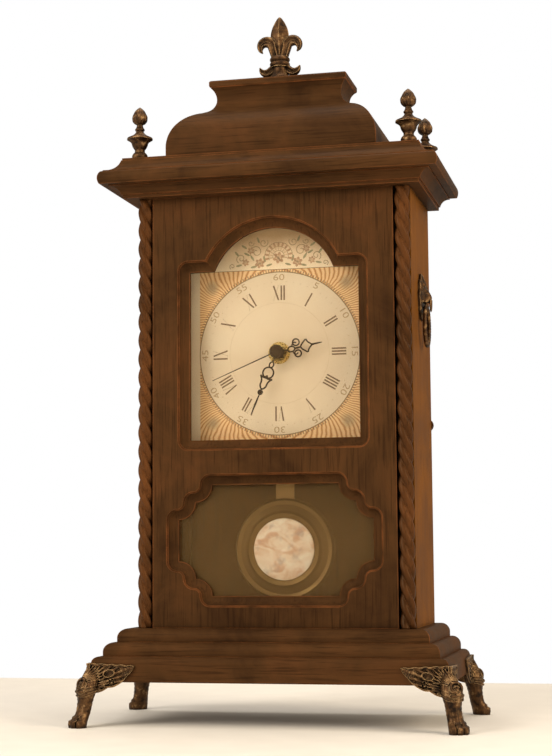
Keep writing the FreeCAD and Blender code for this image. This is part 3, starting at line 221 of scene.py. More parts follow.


# %% [markdown]
# The feet, finials, masks and rings are cheap castings with a bronze finish: dark in every hollow,
# rubbed to a dull gold on what stands out. The same edge finder that wears and highlights the wood
# brings up the high places here, and a fine grain of casting keeps the metal from looking like
# plastic. The patina could be painted on by hand, but worked out from the shape it falls where it
# should on every casting alike.
# %% Metals
def cast_bronze(name, hollow, body, high):
    mat, tree, shader = finish_named(name)
    stain = mottle(tree, 210.0, 6.0, Roughness=0.6)
    colour = ramp(tree, stain, ((0.34, hollow), (0.56, body), (0.80, high)))
    colour = blend(tree, edges_of(tree, 0.0009), colour, high)
    colour = blend(tree, hollow_shade_and_patina(tree, 6, 0.003, ((0.45, 1.0), (0.92, 0.0))), colour, hollow)
    rough = ramp(tree, stain, ((0.3, 0.38), (0.7, 0.58)))
    lay(tree, shader, Base_Color=colour, Metallic=0.8, Roughness=rough)
    relief(tree, shader, mottle(tree, 1500.0, 3.0), 0.00012, 0.6)
    return mat


def plain_metal(name, colour, rough, brushed=(1, 1, 1)):
    mat, tree, shader = finish_named(name)
    lines = mottle(tree, 900.0, 3.0, brushed)
    lay(tree, shader, Base_Color=ramp(tree, lines, ((0.3, dimmer(colour, 0.82)), (0.7, colour))),
        Metallic=1.0, Roughness=ramp(tree, lines, ((0.3, rough), (0.7, rough + 0.12))))
    relief(tree, shader, lines, 0.00003, 0.4)
    return mat


bronze = cast_bronze("cast_bronze", (0.012, 0.006, 0.003), (0.096, 0.046, 0.017), (0.54, 0.35, 0.17))
bob_brass = plain_metal("bob_brass", (0.19, 0.12, 0.047), 0.50)
rod_brass = plain_metal("rod_brass", (0.40, 0.25, 0.10), 0.45, (1, 1, 0.05))
turned_brass = plain_metal("turned_brass", (0.82, 0.60, 0.22), 0.22)
hinge_brass = plain_metal("hinge_brass", (0.55, 0.40, 0.17), 0.35)
steel = plain_metal("plain_steel", (0.50, 0.50, 0.50), 0.35)
print("metals: 6")


# %% [markdown]
# The rest are small stock materials: moulded plastic for the movement, ink for the print, dark
# lacquer for the hands, rubber, the sleeve of the cell, and clear glass under a dusty film that is
# also a painted reflection of the room. One flat colour would do for most of them, but a fine
# pattern in colour and gloss makes them look handled. The glass bends light very little, as a thin
# pane does.
# %% Plastics, inks and glass
def plain_finish(name, colour, rough, spread=0.12, scale=500.0, shine=0.5):
    mat, tree, shader = finish_named(name)
    grain = mottle(tree, scale, 4.0)
    low, high = dimmer(colour, 1 - spread), tuple(min(1.0, c * (1 + spread)) for c in colour)
    lay(tree, shader, Base_Color=ramp(tree, grain, ((0.3, low), (0.7, high))), Specular_IOR_Level=shine,
        Roughness=ramp(tree, grain, ((0.3, rough - 0.04), (0.7, rough + 0.06))))
    relief(tree, shader, grain, 0.00005, 0.5)
    return mat


movement_plastic = plain_finish("movement_plastic", (0.020, 0.020, 0.021), 0.5)
wheel_plastic = plain_finish("wheel_plastic", (0.72, 0.70, 0.64), 0.4)
hand_lacquer = plain_finish("hand_lacquer", (0.022, 0.012, 0.007), 0.5, shine=0.2)
dial_ink = plain_finish("dial_ink", (0.20, 0.125, 0.070), 0.7, 0.25)
faint_ink = plain_finish("faint_ink", (0.47, 0.33, 0.19), 0.75, 0.2)
rubber = plain_finish("washer_rubber", (0.018, 0.018, 0.018), 0.8)
cell_sleeve = plain_finish("cell_sleeve", (0.10, 0.10, 0.12), 0.3)


def clear_glass(name, least, most):
    """Thin clear glass under a dusty film that catches a little light and is also a painted reflection of the
    room.
    """
    mat, tree, shader = finish_named(name)
    out = shader.outputs[0].links[0].to_node
    smear = mottle(tree, 9.0, 4.0)
    lay(tree, shader, Roughness=ramp(tree, smear, ((0.3, 0.02), (0.7, 0.06))), IOR=1.10,
        Base_Color=(0.97, 0.97, 0.95, 1), Transmission_Weight=1.0)
    # dusty film and painted reflection: a lit olive-brown veil standing in for the room seen in the pane
    dust_and_painted_reflection = node(tree, "BsdfDiffuse", Color=(0.36, 0.22, 0.09, 1))
    film = ramp(tree, smear, ((0.3, least), (0.7, most)))
    plug(tree, node(tree, "MixShader", I0=film, I1=shader.outputs[0], I2=dust_and_painted_reflection), out.inputs[0])
    return mat


glass = clear_glass("window_pane_glass", 0.10, 0.15)
dial_pane = clear_glass("dial_pane_glass", 0.03, 0.07)
print("plastics, inks, rubber, sleeve and glass: 9")


# %% [markdown]
# The dial is one printed sheet. Its grounds are worked out from the distance to the middle: warm
# white inside the gold line, a copper colour in the corners with fine curved strokes fanning out
# to the circle, and cream in the arch above, painted lighter than the ground against the case's
# shadow over it and darker towards the top as painted shade. The numerals and flowers are laid on
# afterwards as thin pieces, as a printer lays a second colour over the ground. A picture of a dial
# would be less work, but formulas keep the circle and the arch sharp from close by.
# %% Dial sheet
DIAL_Z = 0.2613
DIAL_FACE_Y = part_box("dial_plate")[0][1]
DIAL_R = 0.0590
ARCH_LINE, ARCH_RISE = 0.3222, 0.030
CORNER_SPOT, FAN_ROOT, DASH_LENGTH = 0.0495, 0.030, 0.0022


def dial_sheet(name):
    mat, tree, shader = finish_named(name)
    parts = tree.nodes.new("ShaderNodeSeparateXYZ")
    plug(tree, node(tree, "TexCoord", "Object"), parts.inputs[0])
    x, z = parts.outputs[0], parts.outputs[2]
    up = sums(tree, "SUBTRACT", z, DIAL_Z)
    far = distance(tree, x, up)
    ground = ramp(tree, mottle(tree, 28.0, 4.0), ((0.3, (0.76, 0.62, 0.44)), (0.7, (0.82, 0.70, 0.52))))
    wobble = mottle(tree, 120.0, 2.0)
    # the corners: a dull spot in each, and curved strokes that sweep round it to the circle
    side_x, side_z = sums(tree, "ABSOLUTE", x), sums(tree, "ABSOLUTE", up)
    spot = distance(tree, *(sums(tree, "SUBTRACT", v, CORNER_SPOT) for v in (side_x, side_z)))
    lean = sums(tree, "ARCTAN2", *(sums(tree, "SUBTRACT", v, FAN_ROOT) for v in (side_x, side_z)))
    sweep = total(tree, product(tree, spot, 900.0), product(tree, wobble, 7.0), product(tree, lean, 76.0))
    strokes = product(tree, total(tree, sums(tree, "SINE", sweep), 1.0), 0.5)
    corner = ramp(tree, strokes, ((0.05, (0.56, 0.25, 0.085)), (0.32, (0.80, 0.47, 0.20)),
                                  (0.75, (0.93, 0.65, 0.35))))
    dull = total(tree, product(tree, spot, 100.0), product(tree, wobble, 0.3))
    corner = blend(tree, ramp(tree, dull, ((0.30, 0.85), (0.80, 0.0))), corner, (0.44, 0.31, 0.17))
    # short dark dashes stand round the circle
    round_about = sums(tree, "ARCTAN2", x, up)
    dashes = sums(tree, "GREATER_THAN", sums(tree, "SINE", product(tree, round_about, 190.0)), 0.25)
    near = sums(tree, "LESS_THAN", far, DIAL_R + DASH_LENGTH)
    corner = blend(tree, product(tree, dashes, near, 0.7), corner, (0.22, 0.12, 0.055))
    outside = sums(tree, "GREATER_THAN", far, DIAL_R)
    below = sums(tree, "LESS_THAN", z, ARCH_LINE)
    printed = sums(tree, "GREATER_THAN", x, -DIAL_R)
    colour = blend(tree, product(tree, outside, below, printed), ground, corner)
    # painted light and shade: the arch ground is lighter than the dial's ground, against the case's shadow
    # over it, and darker towards the top
    climb = sums(tree, "DIVIDE", sums(tree, "SUBTRACT", z, ARCH_LINE), ARCH_RISE)
    arch = ramp(tree, total(tree, climb, product(tree, wobble, 0.3)),
                ((0.15, (0.95, 0.80, 0.58)), (0.60, (0.90, 0.70, 0.46)), (1.0, (0.70, 0.47, 0.26))))
    colour = blend(tree, sums(tree, "GREATER_THAN", z, ARCH_LINE), colour, arch)
    lay(tree, shader, Base_Color=colour, Roughness=0.5)
    relief(tree, shader, mottle(tree, 1800.0, 2.0), 0.00003, 0.5)
    return mat


dial_print = dial_sheet("dial_sheet_print")
print("dial circle, mm across:", round(2 * DIAL_R / MM, 1))


# %% [markdown]
# The little disc on the bob is a small print under lacquer. Two cloudy patterns, one over the
# other, give it soft clouds of peach, cream and warm grey, which read from a distance as a faded
# print and need no picture file.
# %% Bob disc
def faded_print(name):
    mat, tree, shader = finish_named(name)
    first = mottle(tree, 85.0, 4.0, (1, 1, 1.3), Distortion=0.8)
    second = mottle(tree, 140.0, 5.0, (1.2, 1, 1))
    colour = ramp(tree, first, ((0.34, (0.74, 0.46, 0.30)), (0.50, (0.92, 0.74, 0.56)),
                                (0.66, (0.97, 0.88, 0.72))))
    colour = blend(tree, ramp(tree, second, ((0.56, 0.0), (0.70, 0.55))), colour, (0.46, 0.38, 0.34))
    lay(tree, shader, Base_Color=colour, Roughness=0.35, Coat_Weight=0.4)
    relief(tree, shader, second, 0.00003, 0.3)
    return mat


disc_print = faded_print("bob_disc_print")
print("printed sheets: 2")


# %% [markdown]
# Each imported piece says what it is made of, and that word picks its finish. It could be done by
# hand, piece by piece, but then a new piece would be forgotten. Only the pieces that differ from
# others of their material are named: the sides, the mouldings, the wheels and a few more.
# %% Lay the finishes on the joiner's pieces
finishes = {
    "case_wood": upright_wood, "inner_wood": inner_wood, "door_wood": door_wood, "button_wood": upright_wood,
    "cast_brass": bronze, "clear_glass": glass, "steel": steel, "clip_steel": steel, "dial_card": dial_print,
    "dial_backing": inner_wood, "movement_plastic": movement_plastic, "turned_brass": turned_brass,
    "washer_rubber": rubber, "black_hands": hand_lacquer, "pendulum_brass": bob_brass,
    "bob_picture": disc_print, "battery_jacket": cell_sleeve, "hinge_brass": hinge_brass,
}
by_node = {
    "side_panel_left": side_wood_painted_light, "side_panel_right": side_wood_painted_light, "pendulum_rod": rod_brass,
    "hour_wheel": wheel_plastic, "minute_wheel": wheel_plastic, "dial_glass": dial_pane,
    "second_arbor": hand_lacquer,
}
for name in ("plinth", "base_moulding", "cornice_cove", "cornice_lip", "deck_board", "caddy_bell",
             "cap_plate", "floor_board"):
    by_node[name] = moulding_wood
slots = {part["node"]: part["material_slot"] for part in frame["record"]["subparts"]}
for name, slot in slots.items():
    piece = frame["nodes"][name]
    piece.data.materials.clear()
    piece.data.materials.append(by_node.get(name, finishes[slot]))
print("pieces finished:", len(slots))


# %% [markdown]
# Every added piece is a mesh worked out from numbers. The helpers here build a grid of points from
# a formula, join several grids, turn the faces outwards, and hang the finished mesh on its body.
# Modifiers could do part of it, but a formula keeps every size in one place and always gives the
# same mesh.
# %% Helpers for shapes
def grid(rows, around, point, ends=True, ring=False):
    """Points from a function of row and step, and the faces between them."""
    verts = [Vector(point(i, k)) for i in range(rows) for k in range(around)]
    faces = []
    for i in range(rows if ring else rows - 1):
        j = (i + 1) % rows
        for k in range(around):
            n = (k + 1) % around
            faces.append((i * around + k, i * around + n, j * around + n, j * around + k))
    if ends and not ring:
        faces.append(tuple(reversed(range(around))))
        faces.append(tuple((rows - 1) * around + k for k in range(around)))
    return verts, faces


def joined(parts, scale=1.0):
    """Several lots of points and faces as one."""
    verts, faces = [], []
    for points, shapes in parts:
        start = len(verts)
        verts += [tuple(p * scale) for p in points]
        faces += [tuple(start + v for v in f) for f in shapes]
    return verts, faces


def new_mesh(name, parts, scale=1.0):
    verts, faces = joined(parts, scale)
    mesh = bpy.data.meshes.new(name)
    mesh.from_pydata(verts, [], faces)
    mesh.update()
    return mesh


def face_outwards(mesh):
    bm = bmesh.new()
    bm.from_mesh(mesh)
    bmesh.ops.recalc_face_normals(bm, faces=bm.faces)
    bm.to_mesh(mesh)
    bm.free()


def hang(mesh, finish, body, stands_for=None):
    """An object from a mesh, on its body, in place of the plain piece it stands for."""
    mesh.materials.append(finish)
    made = bpy.data.objects.new(mesh.name, mesh)
    bpy.context.collection.objects.link(made)
    if stands_for:
        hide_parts(stands_for)
    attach(made, body)
    return made


print("helpers for shapes: ready")


# %% [markdown]
# The two columns are rope twists: three round strands laid together and wound to the left, let
# into the corner of the case. The strand's section is drawn once, as a circle with three lobes,
# and carried up the column while it turns. A modifier could twist a straight bar as well, but
# this way the turns and the depth of the groove are plain to see. A slow waver in the radius
# keeps the work from looking machined.
# %% Rope-twist columns
COLUMN_X, STRAND, SPREAD, LEAD = 0.0937, 0.00292, 0.00258, 0.040


def rope_column(node_name, middle_x):
    low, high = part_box(node_name)
    middle_y = low[1] + STRAND + SPREAD
    rows, around = 360, 48
    turns = (high[2] - low[2]) / LEAD

    def point(i, k):
        up = i / (rows - 1)
        a = 2 * pi * k / around
        off = (a + pi / 3) % (2 * pi / 3) - pi / 3
        r = SPREAD * cos(off) + sqrt(STRAND ** 2 - (SPREAD * sin(off)) ** 2)
        r *= 1 + 0.012 * noise.noise(Vector((up * 30, middle_x * 40, a)))
        spin = a - 2 * pi * turns * up
        y = min(middle_y + r * sin(spin), high[1])
        return (middle_x + r * cos(spin), y, low[2] + up * (high[2] - low[2]))

    mesh = new_mesh("twist_of_" + node_name, [grid(rows, around, point)])
    face_outwards(mesh)
    for face in mesh.polygons:
        face.use_smooth = len(face.vertices) == 4
    piece = hang(mesh, column_wood, "case", node_name)
    return piece


for side, name in ((-1, "rope_column_left"), (1, "rope_column_right")):
    column = rope_column(name, side * COLUMN_X)
    print(name, "points:", len(column.data.vertices))


# %% [markdown]
# The printing on the dial: a thin ring round the white ground, the hours in Roman figures standing
# on a circle with their feet to the middle, the minutes in fives outside them, a track of dots,
# and a line under the arch. The minutes are set as type. The hours could be type too, but
# engraved dials have thick and thin limbs, so they are drawn in strokes. All are turned to face
# outwards and made into thin mesh, so that they lie on the sheet like ink.
# %% Numerals, rings and dots
INK_Y = DIAL_FACE_Y - 0.00006


def spot_on_dial(radius, degrees):
    a = radians(degrees)
    return Vector((radius * sin(a), INK_Y, DIAL_Z + radius * cos(a)))


def flat_mesh(name, parts, finish):
    return hang(new_mesh(name, parts), finish, "case")


def set_type(words, size, wide):
    """The outline of a few letters as points and faces, centred on the origin."""
    text = bpy.data.curves.new("type", "FONT")
    text.body = words
    text.size = size
    text.align_x = "CENTER"
    text.align_y = "CENTER"
    text.resolution_u = 3
    holder = bpy.data.objects.new("type", text)
    bpy.context.collection.objects.link(holder)
    mesh = bpy.data.meshes.new_from_object(holder.evaluated_get(bpy.context.evaluated_depsgraph_get()))
    points = [(v.co.x * wide, v.co.y) for v in mesh.vertices]
    faces = [tuple(f.vertices) for f in mesh.polygons]
    bpy.data.objects.remove(holder)
    bpy.data.meshes.remove(mesh)
    return points, faces


def bars(strokes):
    """Straight strokes as points and faces: each runs between two points with two widths."""
    points, faces = [], []
    for (x0, z0), (x1, z1), w0, w1 in strokes:
        run = hypot(x1 - x0, z1 - z0)
        nx, nz = (z1 - z0) / run, -(x1 - x0) / run
        n = len(points)
        points += [(x0 + nx * w0, z0 + nz * w0), (x1 + nx * w1, z1 + nz * w1),
                   (x1 - nx * w1, z1 - nz * w1), (x0 - nx * w0, z0 - nz * w0)]
        faces.append((n, n + 1, n + 2, n + 3))
    return points, faces


FIGURES = ("I", "II", "III", "IIII", "V", "VI", "VII", "VIII", "IX", "X", "XI", "XII")
FIGURE_WIDTH = {"I": 0.0, "V": 0.0034, "X": 0.0036}
FIGURE_HALF, FIGURE_GAP = 0.0052, 0.0021
LIMB, HAIRLINE, SERIF = 0.00056, 0.00006, 0.0008


def roman(hour):
    """An hour in strokes: thick and thin limbs with small serifs, as engraved dials have them."""
    figures, half = FIGURES[hour - 1], FIGURE_HALF
    wide = sum(FIGURE_WIDTH[f] for f in figures) + FIGURE_GAP * (len(figures) - 1)
    strokes, serifs, x = [], [], -wide / 2
    for figure in figures:
        w = FIGURE_WIDTH[figure]
        if figure == "I":
            strokes.append(((x, -half), (x, half), LIMB, LIMB))
            serifs += [(x, -half), (x, half)]
        elif figure == "V":
            strokes.append(((x + w / 2, -half), (x, half), 0.00044, 0.00058))
            strokes.append(((x + w / 2, -half), (x + w, half), HAIRLINE, 0.00008))
            serifs += [(x, half), (x + w, half)]
        else:
            strokes.append(((x + w, -half), (x, half), LIMB, LIMB))
            strokes.append(((x, -half), (x + w, half), 0.00007, 0.00007))
            serifs += [(x, half), (x + w, half), (x, -half), (x + w, -half)]
        x += w + FIGURE_GAP
    return bars(strokes + [((e - SERIF, z), (e + SERIF, z), HAIRLINE, HAIRLINE) for e, z in serifs])


def lay_on_dial(artwork, radius, degrees):
    """Turn flat artwork so that it stands at a place on the dial."""
    points, shapes = artwork
    a = radians(degrees)
    right = Vector((cos(a), 0, -sin(a)))
    up = Vector((sin(a), 0, cos(a)))
    centre = spot_on_dial(radius, degrees)
    return [centre + right * x + up * z for x, z in points], shapes


hours = [lay_on_dial(roman(hour), 0.0437, hour * 30) for hour in range(1, 13)]
flat_mesh("hour_figures", hours, dial_ink)
print("hour figures:", sum(len(shapes) for points, shapes in hours), "strokes")

dot = [(0.00032 * cos(t * pi / 4), 0.00032 * sin(t * pi / 4)) for t in range(8)]
minutes = [lay_on_dial(set_type(str(five * 5), 0.0066, 1.35), 0.0549, five * 30) for five in range(1, 13)]
minutes += [([spot_on_dial(0.0520, minute * 6) + Vector((u, 0, v)) for u, v in dot], [tuple(range(8))])
            for minute in range(60) if minute % 5]
flat_mesh("minute_figures_and_dots", minutes, faint_ink)


def ring_on_dial(name, radius, width, finish, steps=180):
    verts = [spot_on_dial(r, 360 * i / steps) for i in range(steps + 1)
             for r in (radius - width / 2, radius + width / 2)]
    faces = [(2 * i, 2 * i + 1, 2 * i + 3, 2 * i + 2) for i in range(steps)]
    return flat_mesh(name, [(verts, faces)], finish)


gold_line = plain_finish("dial_gold_line", (0.27, 0.17, 0.075), 0.45)
ring_on_dial("dial_circle", DIAL_R, 0.0007, gold_line)
ring_on_dial("inner_circle", 0.0366, 0.00012, faint_ink)
points, shapes = bars([((-0.066, 0), (0.066, 0), 0.00022, 0.00022)])
flat_mesh("arch_line", [([Vector((x, INK_Y, ARCH_LINE + z)) for x, z in points], shapes)], gold_line)
print("minute figures and dots:", len(minutes))


# %% [markdown]
# The arch is filled with a shell edged with petals, a spray of flowers, curling scrolls and
# leaves, an old and common filling for this space. Each flower is two rings of overlapping petals,
# each leaf a narrow oval, and the scrolls are thin curling lines. A picture could be laid on the
# sheet instead, but small meshes stay sharp. The colours are kept faint, because such prints fade
# behind glass.
# %% Flowers in the arch
rose = plain_finish("faded_rose", (0.55, 0.33, 0.19), 0.7, 0.2)
rose_light = plain_finish("faded_rose_light", (0.72, 0.52, 0.33), 0.7, 0.15)
leaf_green = plain_finish("faded_leaf", (0.37, 0.34, 0.19), 0.7, 0.2)


def petal_ring(x, z, radius, count, turn, length, width):
    points, faces = [], []
    for p in range(count):
        a = turn + 2 * pi * p / count
        cx, cz = x + radius * cos(a), z + radius * sin(a)
        start = len(points)
        for t in range(10):
            b = 2 * pi * t / 10
            u, v = length * cos(b), width * sin(b)
            points.append((cx + u * cos(a) - v * sin(a), cz + u * sin(a) + v * cos(a)))
        faces.append(tuple(range(start, start + 10)))
    return points, faces


def print_layers(name, layers, lift, finish):
    return flat_mesh(name, [([Vector((x, INK_Y - lift, z)) for x, z in points], shapes)
                            for points, shapes in layers], finish)


def curl(x, z, size, start, turns, side, width=0.00016):
    """A scroll line that winds inwards."""
    strokes, last = [], None
    for i in range(26):
        share = i / 25
        a = start + side * share * turns * 2 * pi
        r = size * (1 - 0.82 * share)
        here = (x + r * cos(a), z + r * sin(a))
        if last:
            strokes.append((last, here, width, width))
        last = here
    return bars(strokes)


flower_z = ARCH_LINE + 0.0050
shell_z = flower_z + 0.0045
outer, inner, leaves, scrolls = [], [], [], []
for radius in (0.0042, 0.0072, 0.0104):
    arc = [(radius * cos(radians(t)), shell_z + radius * sin(radians(t)))
           for t in range(-20, 201, 10)]
    scrolls.append(bars([(a, b, 0.00022, 0.00022) for a, b in zip(arc, arc[1:])]))
for t in range(-10, 191, 20):
    turn = radians(t)
    for layer, reach, length, width in ((outer, 0.0088, 0.0019, 0.0008), (inner, 0.0056, 0.0013, 0.0006)):
        x, z = reach * cos(turn), shell_z + reach * sin(turn)
        layer.append(petal_ring(x, z, 0.0, 1, turn, length, width))
for x, z, size in ((0.0, 0.0035, 0.8), (-0.0140, 0.0000, 0.7), (0.0140, 0.0000, 0.7), (-0.0245, 0.0010, 0.5),
                   (0.0245, 0.0010, 0.5), (-0.0205, 0.0095, 0.5), (0.0205, 0.0095, 0.5)):
    outer.append(petal_ring(x, flower_z + z, 0.0030 * size, 6, 0.3, 0.0024 * size, 0.0016 * size))
    inner.append(petal_ring(x, flower_z + z, 0.0013 * size, 5, 0.8, 0.0016 * size, 0.0010 * size))
for side in (-1, 1):
    for x, z, size, start, turns in ((0.0165, 0.0085, 0.0052, -1.2, 1.5), (0.0280, 0.0040, 0.0036, -1.0, 1.3),
                                     (0.0110, 0.0150, 0.0034, 2.6, 1.3), (0.0345, -0.0015, 0.0022, -1.0, 1.2),
                                     (0.0205, 0.0150, 0.0024, 3.0, 1.1)):
        begin = start if side > 0 else pi - start
        scrolls.append(curl(side * x, flower_z + z, size, begin, turns, side, 0.00030))
    for x, z, a in ((0.0070, -0.0015, -0.3), (0.0105, 0.0030, 1.3), (0.0185, -0.0025, -0.2),
                    (0.0195, 0.0040, 1.0), (0.0235, 0.0070, 0.5), (0.0295, -0.0010, -0.2),
                    (0.0310, 0.0075, 0.9), (0.0150, 0.0170, 1.2), (0.0255, 0.0125, 0.6)):
        turn = a if side > 0 else pi - a
        leaves.append(petal_ring(side * x, flower_z + z, 0.0, 1, turn, 0.0024, 0.0008))
print_layers("arch_scrolls", scrolls, 0.0, faint_ink)
print_layers("arch_leaves", leaves, 0.00002, leaf_green)
print_layers("arch_flowers_back", outer, 0.00004, rose)
print_layers("arch_flowers_front", inner, 0.00006, rose_light)
print("flowers:", len(outer), "leaves:", len(leaves))


# %% [markdown]
# The castings need rounder forms than the joiner's model gives them, so each is modelled again
# over its solid, inside the same outline. A casting here is a stack of rings whose points come
# from a formula, and several such stacks make one piece. They could be sculpted, but formulas
# come out alike on both sides of the clock. The next helpers build a tube that follows a route,
# the finished casting, and a smooth run between a few measured rows.
# %% Helpers for castings
def tube_along(route, radius, around=10):
    """A round bar along a route in millimetres; its radius depends on how far along it is."""
    count = len(route)

    def point(i, k):
        ahead = (route[min(count - 1, i + 1)] - route[max(0, i - 1)]).normalized()
        side = ahead.cross(Vector((0.13, 1.0, 0.07))).normalized()
        top = side.cross(ahead)
        a = 2 * pi * k / around
        return route[i] + (side * cos(a) + top * sin(a)) * radius(i / (count - 1))

    return grid(count, around, point)


def casting(name, parts, finish, body, stands_for=None, crease=42):
    """Join grids into one object, in metres from millimetres."""
    mesh = new_mesh(name, parts, MM)
    face_outwards(mesh)
    for face in mesh.polygons:
        face.use_smooth = True
    mesh.set_sharp_from_angle(angle=radians(crease))
    return hang(mesh, finish, body, stands_for)


def smooth_rows(rows, count):
    """A few rows of numbers turned into many, along a smooth curve through them."""
    out = []
    for i in range(count):
        t = i / (count - 1) * (len(rows) - 1)
        k = min(int(t), len(rows) - 2)
        f = t - k
        near = rows[max(k - 1, 0)], rows[k], rows[k + 1], rows[min(k + 2, len(rows) - 1)]
        out.append([0.5 * (2 * b + (c - a) * f + (2 * a - 5 * b + 4 * c - d) * f * f
                           + (3 * b - a - 3 * c + d) * f ** 3) for a, b, c, d in zip(*near)])
    return out


print("helpers for castings: ready")


# %% [markdown]
# Each foot is a lion's paw on a bent leg, with a pierced leaf running along both faces of the
# plinth. The leg is a run of rings through a few measured sections, swollen into four toes at the
# bottom, with two bands over the toes and wrinkles at the ankle. A plain tube would do from far
# off, but the paw is what the eye goes to first.
# %% Paw and leg
PLINTH_UNDER, PLINTH_X, PLINTH_Y = 30.5, 124.5, {-1: -61.5, 1: 60.0}
LEG_ROWS, LEG_AROUND = 84, 72
LEG = ((0.0, 6.8, 5.8, 7.0), (3.6, 6.7, 6.2, 7.2), (7.0, 5.2, 5.3, 6.4), (10.5, 3.9, 4.9, 5.6),
       (18.5, 2.8, 5.3, 5.8), (24.5, 2.3, 6.9, 7.2), (29.5, 1.2, 6.1, 6.8), (34.5, -0.4, 4.4, 5.0),
       (39.5, -1.6, 3.0, 3.4), (43.0, -2.4, 1.2, 1.6))


def bell(value, middle, width):
    return exp(-((value - middle) / width) ** 2)


def leg_rings(corner, sx, sy):
    rows = smooth_rows(LEG, LEG_ROWS)

    def point(i, k):
        z, out, along, across = rows[i]
        a = 2 * pi * k / LEG_AROUND
        front = max(0.0, cos(a)) ** 0.5
        low = max(0.0, 1 - z / 9.5)
        swell = 1 + 0.30 * min(1.0, low * 2.2) * front * (abs(sin(4 * a)) ** 0.45 - 0.8)
        swell += 0.08 * front * (bell(z, 4.6, 0.6) + bell(z, 7.2, 0.6) - bell(z, 5.9, 0.5))
        swell += 0.10 * front * (abs(sin(4 * a)) ** 0.6 - 0.75) * bell(z, 13, 5)
        swell += 0.028 * sin(2.1 * z + 1.5 * sin(a)) * bell(z, 16, 6)
        swell += 0.07 * (abs(sin(9 * a + 0.22 * (z - 30))) - 0.5) * min(1.0, max(0.0, (z - 24) / 5))
        swell += 0.02 * sin(13 * a + 0.35 * z) * bell(z, 20, 7)
        u, v = along * swell * cos(a), across * swell * sin(a)
        x, y = out + (u - v) * sqrt(0.5), out + (u + v) * sqrt(0.5)
        return corner[0] + sx * x, corner[1] + sy * y, max(z, 0.0)

    return grid(LEG_ROWS, LEG_AROUND, point)


print("leg sections:", len(LEG))


# %% [markdown]
# The leaf on the real casting is pierced and ribbed. It could be cut and carved, but at this size a
# plate whose thickness is a formula reads the same: ribs fan out from the knee, an oval eye and six
# small pits are let in, and the edge is raised.
# %% Pierced leaf
LEAF_ROWS, LEAF_STEPS, LEAF_START, LEAF_RUN = 110, 46, -2.6, 34.6
EYE_X, EYE_Z = 13.8, 6.2
PITS = ((11.8, 0.4), (14.0, 1.3), (16.2, 2.2), (12.8, -1.7), (15.0, -0.8), (17.2, 0.1))


def leaf_edges(x):
    """Height of the leaf's upper and lower edge, from the plinth's underside."""
    marks = ((-2.6, -7.4), (3.8, -7.4), (12.8, -3.6), (20.5, -1.4), (27.5, 5.2), (32.0, 11.0))
    for (x0, z0), (x1, z1) in zip(marks, marks[1:]):
        if x <= x1:
            share = (x - x0) / (x1 - x0)
            low = z0 + (z1 - z0) * share - 0.8 * sin(pi * share) * (x0 > 0)
            break
    return 13.2 - 1.6 * (x - LEAF_START) / LEAF_RUN + 0.25 * sin(0.9 * x), low


def leaf_depth(x, z, share):
    edge = min(share, 1 - share)
    depth = 1.0 + 0.6 * min(1.0, edge / 0.2)
    fan = atan2(z + 4.0, x + 7.0)
    depth += 1.3 * (abs(sin(fan * 29)) ** 1.3 - 0.5) * (x < 26)
    if x > 21:
        depth += 0.4 * sin(2.2 * x) * sin(1.6 * z + x)
    if edge < 0.07:
        depth = 1.9
    u, v = x - EYE_X, z - EYE_Z
    eye = (u * 0.975 + v * 0.22) ** 2 / 12.5 + (v * 0.975 - u * 0.22) ** 2 / 4.4
    if eye < 1:
        depth = 0.12
    elif eye < 1.7:
        depth = 2.3
    for px, pz in PITS:
        if (x - px) ** 2 + (z - pz) ** 2 < 0.42:
            depth = 0.3
    return min(2.6, max(0.1, depth))


def leaf_rings(corner, sx, sy, on_front):
    def point(i, k):
        x = LEAF_START + LEAF_RUN * i / (LEAF_ROWS - 1)
        high, low = leaf_edges(x)
        share = min(k, LEAF_STEPS - 1) / (LEAF_STEPS - 1)
        z = low + (high - low) * share
        depth = leaf_depth(x, z, share)
        if k >= LEAF_STEPS:
            z, depth = (high, 0.0) if k == LEAF_STEPS else (low, 0.0)
        if on_front:
            return corner[0] - sx * x, corner[1] + sy * depth, PLINTH_UNDER + z
        return corner[0] + sx * depth, corner[1] - sy * x, PLINTH_UNDER + z

    return grid(LEAF_ROWS, LEAF_STEPS + 2, point)


print("pits in each leaf:", len(PITS))


# %% [markdown]
# A scroll is laid over the knee where the two leaves meet, with three ridges running back from it
# and seven locks of the mane climbing from it. They could be part of the leg's formula, but a round
# bar along a route is easier to place. The route is dropped onto the knee's face, so the bar hugs
# the form below it.
# %% Knee scroll, mane and the four feet
def on_knee(corner, sx, sy, on_front, out, z, lift):
    """A place on the knee's face, out from the corner and up from the shelf."""
    middle, radius = 2.5 - 0.22 * max(0.0, z - 24), 6.8 - 0.24 * max(0.0, z - 27)
    bulge = sqrt(max(1.0, radius ** 2 - (out - middle) ** 2))
    depth = max(middle + bulge if out > -5 else 1.8, 1.8) + lift
    if on_front:
        return Vector((corner[0] + sx * out, corner[1] + sy * depth, z))
    return Vector((corner[0] + sx * depth, corner[1] + sy * out, z))


